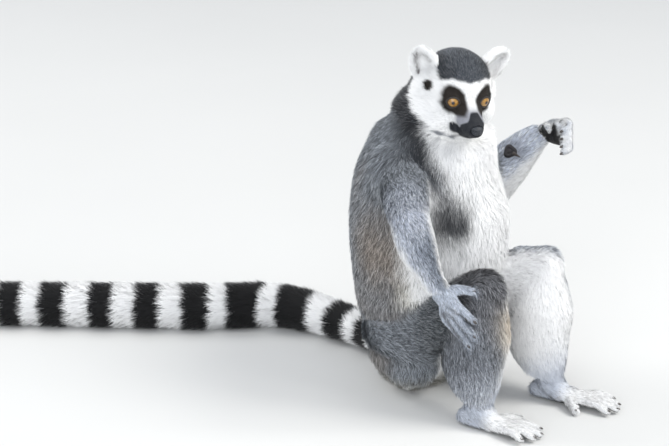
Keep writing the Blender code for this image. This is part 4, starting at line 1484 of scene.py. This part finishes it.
@dataclass
class Eye:
    """One amber eye with its dark lids."""

    head: Head
    side: Side
    iris: float = 6.0        # radius, mm
    pupil: float = 1.5
    bulge: float = 0.6       # of the cornea, mm

    @property
    def middle(self) -> Vector:
        """The eyeball's middle."""
        return Vector(self.head.eyes[0 if self.side is Side.RIGHT else 1])

    @property
    def radius(self) -> float:
        """The eyeball's radius in metres."""
        low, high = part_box(f"eye_{self.side.word}")
        return (high - low).z / 2

    @property
    def gaze(self) -> Vector:
        """The way the eye looks."""
        turn = math.radians(EYE_SPLAY) * self.side.value
        left, forward, _ = self.head.axes
        return Vector(math.sin(turn) * left + math.cos(turn) * forward)

    def build(self) -> None:
        """Makes the eyeball and its lids."""
        self._ball()
        self._lids()

    def _ball(self) -> None:
        """A sphere with a bulging cornea."""
        start_modelling()
        turn = self.gaze.to_track_quat("Z", "Y").to_euler()
        bpy.ops.mesh.primitive_uv_sphere_add(segments=64, ring_count=40, radius=self.radius,
                                             location=self.middle, rotation=turn)
        ball = bpy.context.object
        bpy.ops.object.mode_set(mode="EDIT")
        mesh = bmesh.from_edit_mesh(ball.data)
        for vertex in mesh.verts:
            vertex.select_set(vertex.co.z > 0.9999 * self.radius)
        mesh.select_flush_mode()
        bmesh.update_edit_mesh(ball.data)
        bpy.ops.transform.translate(value=self.gaze * self.bulge * MM, use_proportional_edit=True,
                                    proportional_size=5.5 * MM, proportional_edit_falloff="SMOOTH")
        bpy.ops.object.mode_set(mode="OBJECT")
        finish_piece(f"eyeball_{self.side.word}", self._amber(), f"eye_{self.side.word}")

    def _amber(self) -> bpy.types.Material:
        """A dark pupil in an amber iris with fine spokes and a dark rim, under a wet surface."""
        shade = Shade(f"amber_eye_{self.side.word}")
        offset = shade.node("ShaderNodeVectorMath", {"operation": "SUBTRACT"},
                            {0: shade.place(), 1: self.middle})
        around = shade.node("ShaderNodeVectorMath", {"operation": "CROSS_PRODUCT"}, {0: offset, 1: self.gaze})
        aside = shade.node("ShaderNodeVectorMath", {"operation": "LENGTH"}, {0: around}, out=1) * (1.0 / MM)
        spoke = shade.node("ShaderNodeVectorMath", {"operation": "NORMALIZE"}, {0: around})
        spokes = shade.noise(7.0, 4.0, spoke)
        amber = shade.blend(spokes.ramp(0.3, 0.7), (0.50, 0.28, 0.060), (0.20, 0.085, 0.014))
        amber = shade.blend(aside.ramp(self.pupil + 0.1, self.pupil + 1.3), (0.22, 0.10, 0.018), amber)
        rimmed = shade.blend(aside.ramp(self.iris - 2.6, self.iris), amber, (0.03, 0.013, 0.005))
        colour = shade.blend(aside.ramp(self.pupil - 0.15, self.pupil + 0.15), (0.001, 0.001, 0.001), rimmed)
        shade.surface(Base_Color=colour, Roughness=0.28, Coat_Weight=1.0, Coat_Roughness=0.03, IOR=1.38)
        return shade.material

    def _lids(self) -> None:
        """A dark rim of skin round the opening, slightly pointed at its corners."""
        start_modelling()
        tube = 0.2
        bpy.ops.mesh.primitive_torus_add(major_segments=72, minor_segments=14, major_radius=1.0,
                                         minor_radius=tube)
        rim = bpy.context.object
        bpy.ops.object.mode_set(mode="EDIT")
        mesh = bmesh.from_edit_mesh(rim.data)
        wide, high = (math.sin(math.radians(angle)) * self.radius for angle in EYE_OPENING)
        thick = 0.6 * MM
        lift = self.radius + 0.35 * MM
        for vertex in mesh.verts:
            angle = math.atan2(vertex.co.y, vertex.co.x)
            corner = 1.0 + 0.09 * abs(math.cos(angle)) ** 9
            flat = math.hypot(vertex.co.x, vertex.co.y) - 1.0
            seat = Vector((wide * corner * math.cos(angle), high * math.sin(angle), 0.0))
            seat.z = math.sqrt(max(lift ** 2 - seat.length_squared, 0.0))
            out = Vector((seat.x, seat.y, 0.0)).normalized()
            away = seat.normalized()
            out = (out - out.dot(away) * away).normalized()
            vertex.co = seat + (out * flat * 1.5 + away * vertex.co.z) * thick / tube
        bmesh.update_edit_mesh(rim.data)
        bpy.ops.mesh.normals_make_consistent(inside=False)
        bpy.ops.object.mode_set(mode="OBJECT")
        left, _, up = (Vector(axis) for axis in self.head.axes)
        across = (left - left.dot(self.gaze) * self.gaze).normalized()
        turn = Matrix((across, self.gaze.cross(across), self.gaze)).transposed()
        rim.matrix_world = Matrix.Translation(self.middle) @ turn.to_4x4()
        finish_piece(f"eyelids_{self.side.word}", wet_skin("lid_skin", (0.012, 0.009, 0.008), 0.48))


def wet_skin(name: str, colour: Colour, roughness: float) -> bpy.types.Material:
    """Dark moist skin with fine creases.

    Args:
        name: the material's name.
        colour: its base.
        roughness: its middle roughness.

    Returns:
        The material.
    """
    shade = Shade(name)
    pores = shade.node("ShaderNodeTexVoronoi", {"feature": "DISTANCE_TO_EDGE"},
                       {"Vector": shade.place(), "Scale": 1500.0})
    grain = pores.ramp(0.0, 0.3)
    cloud = shade.noise(260.0, 3.0)
    paler = tuple(min(1.0, 1.9 * part + 0.004) for part in colour)
    shade.surface(Base_Color=shade.blend(cloud.ramp(0.35, 0.7), colour, paler),
                  Roughness=roughness + 0.16 * cloud, Specular_IOR_Level=0.55,
                  Normal=shade.bump(grain, 0.12 * MM, 0.6))
    return shade.material


@dataclass
class Nose:
    """The bare pad at the tip of the muzzle, with comma-shaped nostrils and a groove below."""

    head: Head
    radii: Colour = (5.9, 5.1, 4.9)      # aside, forward, up, mm
    nostril: tuple[float, float] = (3.3, 0.4)

    def build(self) -> None:
        """Shapes the pad."""
        start_modelling()
        bpy.ops.mesh.primitive_uv_sphere_add(segments=56, ring_count=36, radius=1.0)
        pad = bpy.context.object
        bpy.ops.object.mode_set(mode="EDIT")
        mesh = bmesh.from_edit_mesh(pad.data)
        for vertex in mesh.verts:
            aside, forward, up = vertex.co
            place = Vector((aside * self.radii[0] * (1.0 + 0.10 * up), forward * self.radii[1],
                            up * self.radii[2]))
            if forward > 0:
                hole = math.hypot((abs(place.x) - self.nostril[0] - 0.25 * place.z) / 1.5,
                                  (place.z - self.nostril[1]) / 0.85)
                place.y -= 2.2 * math.exp(-hole ** 2)
                groove = math.exp(-(place.x / 0.55) ** 2) * math.exp(-max(place.z - 0.6, 0.0) ** 2)
                place.y -= 0.7 * groove
            vertex.co = place * MM
        bmesh.update_edit_mesh(pad.data)
        bpy.ops.object.mode_set(mode="OBJECT")
        turn = Matrix([Vector(axis) for axis in self.head.axes]).transposed()
        middle = sum(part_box(NOSE), Vector()) / 2
        pad.matrix_world = Matrix.Translation(middle) @ turn.to_4x4()
        bpy.ops.object.mode_set(mode="EDIT")
        bpy.ops.mesh.select_all(action="SELECT")
        bpy.ops.mesh.normals_make_consistent(inside=False)
        bpy.ops.object.mode_set(mode="OBJECT")
        finish_piece("nose_pad", wet_skin("nose_leather", (0.009, 0.0115, 0.016), 0.36), NOSE)


@dataclass
class Nails:
    """The small flat nails of one hand or foot."""

    name: str
    digits: list[tuple[Vector, Vector, Vector]]     # last joint, tip, the way the back faces, mm
    size: Colour = (1.5, 2.3, 0.55)                 # half width, half length, half thickness, mm
    seat: tuple[float, float] = (1.3, 2.2)          # beyond and above the tip's middle, mm

    def build(self) -> None:
        """Shapes one nail, copies it to each digit and joins them."""
        start_modelling()
        nails = []
        for joint, tip, back in self.digits:
            along = (tip - joint).normalized()
            back = (back - back.dot(along) * along).normalized()
            bpy.ops.mesh.primitive_uv_sphere_add(segments=16, ring_count=10, radius=1.0)
            nail = bpy.context.object
            for vertex in nail.data.vertices:
                aside, forward, up = vertex.co
                vertex.co = (aside * self.size[0] * (1.0 - 0.25 * forward), forward * self.size[1],
                             up * self.size[2] - 0.35 * aside ** 2 - 0.3 * max(forward, 0.0) ** 2)
            turn = Matrix((along.cross(back), along, back)).transposed().to_4x4()
            place = tip + along * self.seat[0] + back * self.seat[1]
            nail.matrix_world = Matrix.Translation(place * MM) @ turn @ Matrix.Scale(MM, 4)
            nails.append(nail)
        for nail in nails:
            nail.select_set(True)
        bpy.ops.object.join()
        finish_piece(self.name, horn())


def digits() -> dict[str, list[tuple[Vector, Vector, Vector]]]:
    """The last joint, the tip and the way the back faces of each finger and toe, by the name of its nails."""
    found = {"nails_hand_right": [(Vector(joint), Vector(tip), Vector((-0.75, -0.4, 0.5)))
                                  for _, joint, tip in (*FINGERS, THUMB)]}
    wrist = Vector((122, -57, 245))
    outward, up, near = Vector((0.707, -0.707, 0)), Vector((0.24, 0.24, 0.94)), Vector((-0.66, -0.66, 0.34))
    curled = []
    for spread in (9.5, 3.0, -3.5, -9.5):
        bent = wrist + outward * 21 + near * 36 + up * (1.15 * spread - 7)
        curled.append((bent, bent - outward * 7 - near - up * 3, near - up * 0.4))
    found["nails_hand_left"] = curled
    feet = (("right", (-51, -109, 10), (-31, -186, 5)), ("left", (48, -117, 10), (74, -200, 5)))
    for side, heel, toes in feet:
        heel, run, sign = Vector(heel), Vector(toes) - Vector(heel), (1 if side == "right" else -1)
        inner = Vector((sign, 0, 0)) - run.normalized() * run.normalized().x * sign
        spread_toes = []
        for spread, reach in ((-11, 0.86), (-4, 0.97), (3, 1.0), (10, 0.93)):
            tip = heel + run * reach + inner * spread * 1.5
            spread_toes.append((tip - run * 0.12 + Vector((0, 0, 2)), tip, Vector((0, 0, 1))))
        big = heel + run * 0.60 + inner * 27 + Vector((0, 0, -2))
        spread_toes.append((big - run * 0.10 - inner * 11, big, Vector((0, 0, 1))))
        found[f"nails_foot_{side}"] = spread_toes
    return found


@dataclass
class Gland:
    """The scent gland inside a male's forearm: a low ring of dark skin with a horny spur below."""

    middle: Vector
    out: Vector             # the way its skin faces
    run: Vector             # the way the spur points
    ring: float = 4.5       # radius of the ring, mm
    spur: float = 11.0      # length of the spur, mm

    def build(self) -> None:
        """Shapes the ring with its soft middle, then the spur."""
        out = self.out.normalized()
        run = (self.run - self.run.dot(out) * out).normalized()
        turn = Matrix((run, out.cross(run), out)).transposed().to_4x4()
        seat = Matrix.Translation(self.middle * MM) @ turn @ Matrix.Scale(MM, 4)
        start_modelling()
        bpy.ops.mesh.primitive_torus_add(major_segments=48, minor_segments=16, major_radius=self.ring,
                                         minor_radius=2.2)
        ring = bpy.context.object
        for vertex in ring.data.vertices:
            lump = 1.0 + 0.12 * math.sin(3.0 * math.atan2(vertex.co.y, vertex.co.x) + 0.6)
            vertex.co = (vertex.co.x * 1.15 * lump, vertex.co.y * lump, vertex.co.z * 0.7)
        bpy.ops.mesh.primitive_uv_sphere_add(segments=32, ring_count=16, radius=1.0)
        dome = bpy.context.object
        dome.data.transform(Matrix.Diagonal((self.ring, self.ring * 0.9, 1.1, 1.0)))
        ring.matrix_world = dome.matrix_world = seat
        ring.select_set(True)
        dome.select_set(True)
        bpy.context.view_layer.objects.active = ring
        bpy.ops.object.join()
        finish_piece("gland", wet_skin("gland_skin", (0.009, 0.007, 0.009), 0.42))
        self._spur(seat)

    def _spur(self, seat: Matrix) -> None:
        """A small blunt thorn that leans over the lower edge of the ring."""
        start_modelling()
        bpy.ops.mesh.primitive_cone_add(vertices=24, radius1=2.1, radius2=0.5, depth=self.spur)
        spur = bpy.context.object
        bpy.ops.object.mode_set(mode="EDIT")
        bpy.ops.mesh.select_all(action="SELECT")
        bpy.ops.mesh.subdivide(number_cuts=3)
        bpy.ops.object.mode_set(mode="OBJECT")
        for vertex in spur.data.vertices:
            along = vertex.co.z + self.spur / 2
            lift = 0.6 + vertex.co.y * 0.7 + 1.4 * math.sin(along / 4.0)
            vertex.co = (self.ring + along * 0.95, vertex.co.x, lift)
        bpy.ops.object.mode_set(mode="EDIT")
        bpy.ops.mesh.normals_make_consistent(inside=False)
        bpy.ops.object.mode_set(mode="OBJECT")
        spur.matrix_world = seat
        finish_piece("gland_spur", horn())


def horn() -> bpy.types.Material:
    """Dark polished horn with faint growth lines."""
    shade = Shade("nail_horn")
    bands = shade.noise(900.0, 2.0)
    shade.surface(Base_Color=shade.blend(bands.ramp(0.3, 0.7), (0.022, 0.017, 0.015), (0.075, 0.062, 0.055)),
                  Roughness=0.28 + 0.15 * bands, Normal=shade.bump(bands, 0.08 * MM, 0.5))
    return shade.material


# ---- Studio ----------------------------------------------------------------------------------------------
@dataclass
class Studio:
    """A plain pale floor, soft lights and the camera."""

    LAMPS = (("key", (0.9, -1.7, 2.2), 1.3, 60.0, (1.0, 0.985, 0.95)),
             ("fill", (-2.1, -1.3, 0.9), 2.2, 42.0, (0.95, 0.975, 1.0)),
             ("rim", (-0.9, 2.1, 1.9), 1.4, 30.0, (1.0, 0.99, 0.97)))     # place, size, watts and colour
    eye: Vector = Vector((-1.4698, -1.3507, 0.8915))
    aim: Vector = Vector((-0.0219, 0.0971, 0.1462))
    lens: float = 114.94

    def build(self) -> None:
        """Sets the stage."""
        start_modelling()
        bpy.ops.mesh.primitive_plane_add(size=60.0)
        floor = bpy.context.object
        floor.name = "floor"
        shade = Shade("floor_paper")
        cloud = shade.noise(3.0, 3.0)
        shade.surface(Base_Color=shade.blend(cloud, (0.66, 0.66, 0.65), (0.69, 0.69, 0.68)), Roughness=0.9)
        floor.data.materials.append(shade.material)
        for lamp in self.LAMPS:
            self._light(*lamp)
        world = bpy.data.worlds.new("studio")
        world.use_nodes = True
        world.node_tree.nodes["Background"].inputs["Color"].default_value = (0.90, 0.94, 1.0, 1.0)
        world.node_tree.nodes["Background"].inputs["Strength"].default_value = 0.70
        bpy.context.scene.world = world
        bpy.context.scene.view_settings.view_transform = "Standard"
        self._camera()

    def _light(self, name: str, place: Colour, size: float, power: float, colour: Colour) -> None:
        """Adds one soft square light that faces the animal."""
        light = bpy.data.lights.new(name, "AREA")
        light.size, light.energy, light.color = size, power, colour
        lamp = bpy.data.objects.new(name, light)
        lamp.location = place
        lamp.rotation_euler = (self.aim - Vector(place)).to_track_quat("-Z", "Y").to_euler()
        bpy.context.collection.objects.link(lamp)

    def _camera(self) -> None:
        """Adds the camera."""
        camera = bpy.data.cameras.new("camera")
        camera.lens = self.lens
        camera.clip_start = 0.01
        view = bpy.data.objects.new("camera", camera)
        view.location = self.eye
        view.rotation_euler = (self.aim - self.eye).to_track_quat("-Z", "Y").to_euler()
        bpy.context.collection.objects.link(view)
        bpy.context.scene.camera = view


COATS = {
    "coat_head": ("head",),
    "coat_ears": ("ear_left", "ear_right"),
    "coat_neck": ("neck",),
    "coat_chest": ("chest",),
    "coat_belly": ("belly",),
    "coat_arm_right": ("upper_arm_right", "forearm_right"),
    "coat_arm_left": ("upper_arm_left", "forearm_left"),
    "coat_hands": ("hand_right", "hand_left"),
    "coat_leg_right": ("thigh_right", "shank_right"),
    "coat_leg_left": ("thigh_left", "shank_left"),
    "coat_feet": ("foot_right", "foot_left"),
    "coat_tail_root": ("tail_1", "tail_2", "tail_3"),
    "coat_tail_end": ("tail_4", "tail_5", "tail_6"),
}


def main() -> None:
    """Builds the lemur from the skin outward, then the studio."""
    logging.basicConfig(level=logging.INFO, format="%(message)s")
    anatomy = Anatomy()
    markings = Markings(anatomy)
    fields = Skin(anatomy, markings).build()
    hair = coat_finish()
    for order, (name, parts) in enumerate(COATS.items()):
        Coat(name, parts, 11 + order, fields, hair).build()
    for side in Side:
        Eye(anatomy.head, side).build()
    Nose(anatomy.head).build()
    for name, tips in digits().items():
        Nails(name, tips).build()
    inside = Vector(anatomy.limbs["forearm_left"].outward(markings.GLAND[None] * MM)[0])
    Gland(Vector(markings.GLAND) + inside * 0.8, inside, Vector(markings.GLAND_RUN)).build()
    Studio().build()


if __name__ == "__main__":
    main()
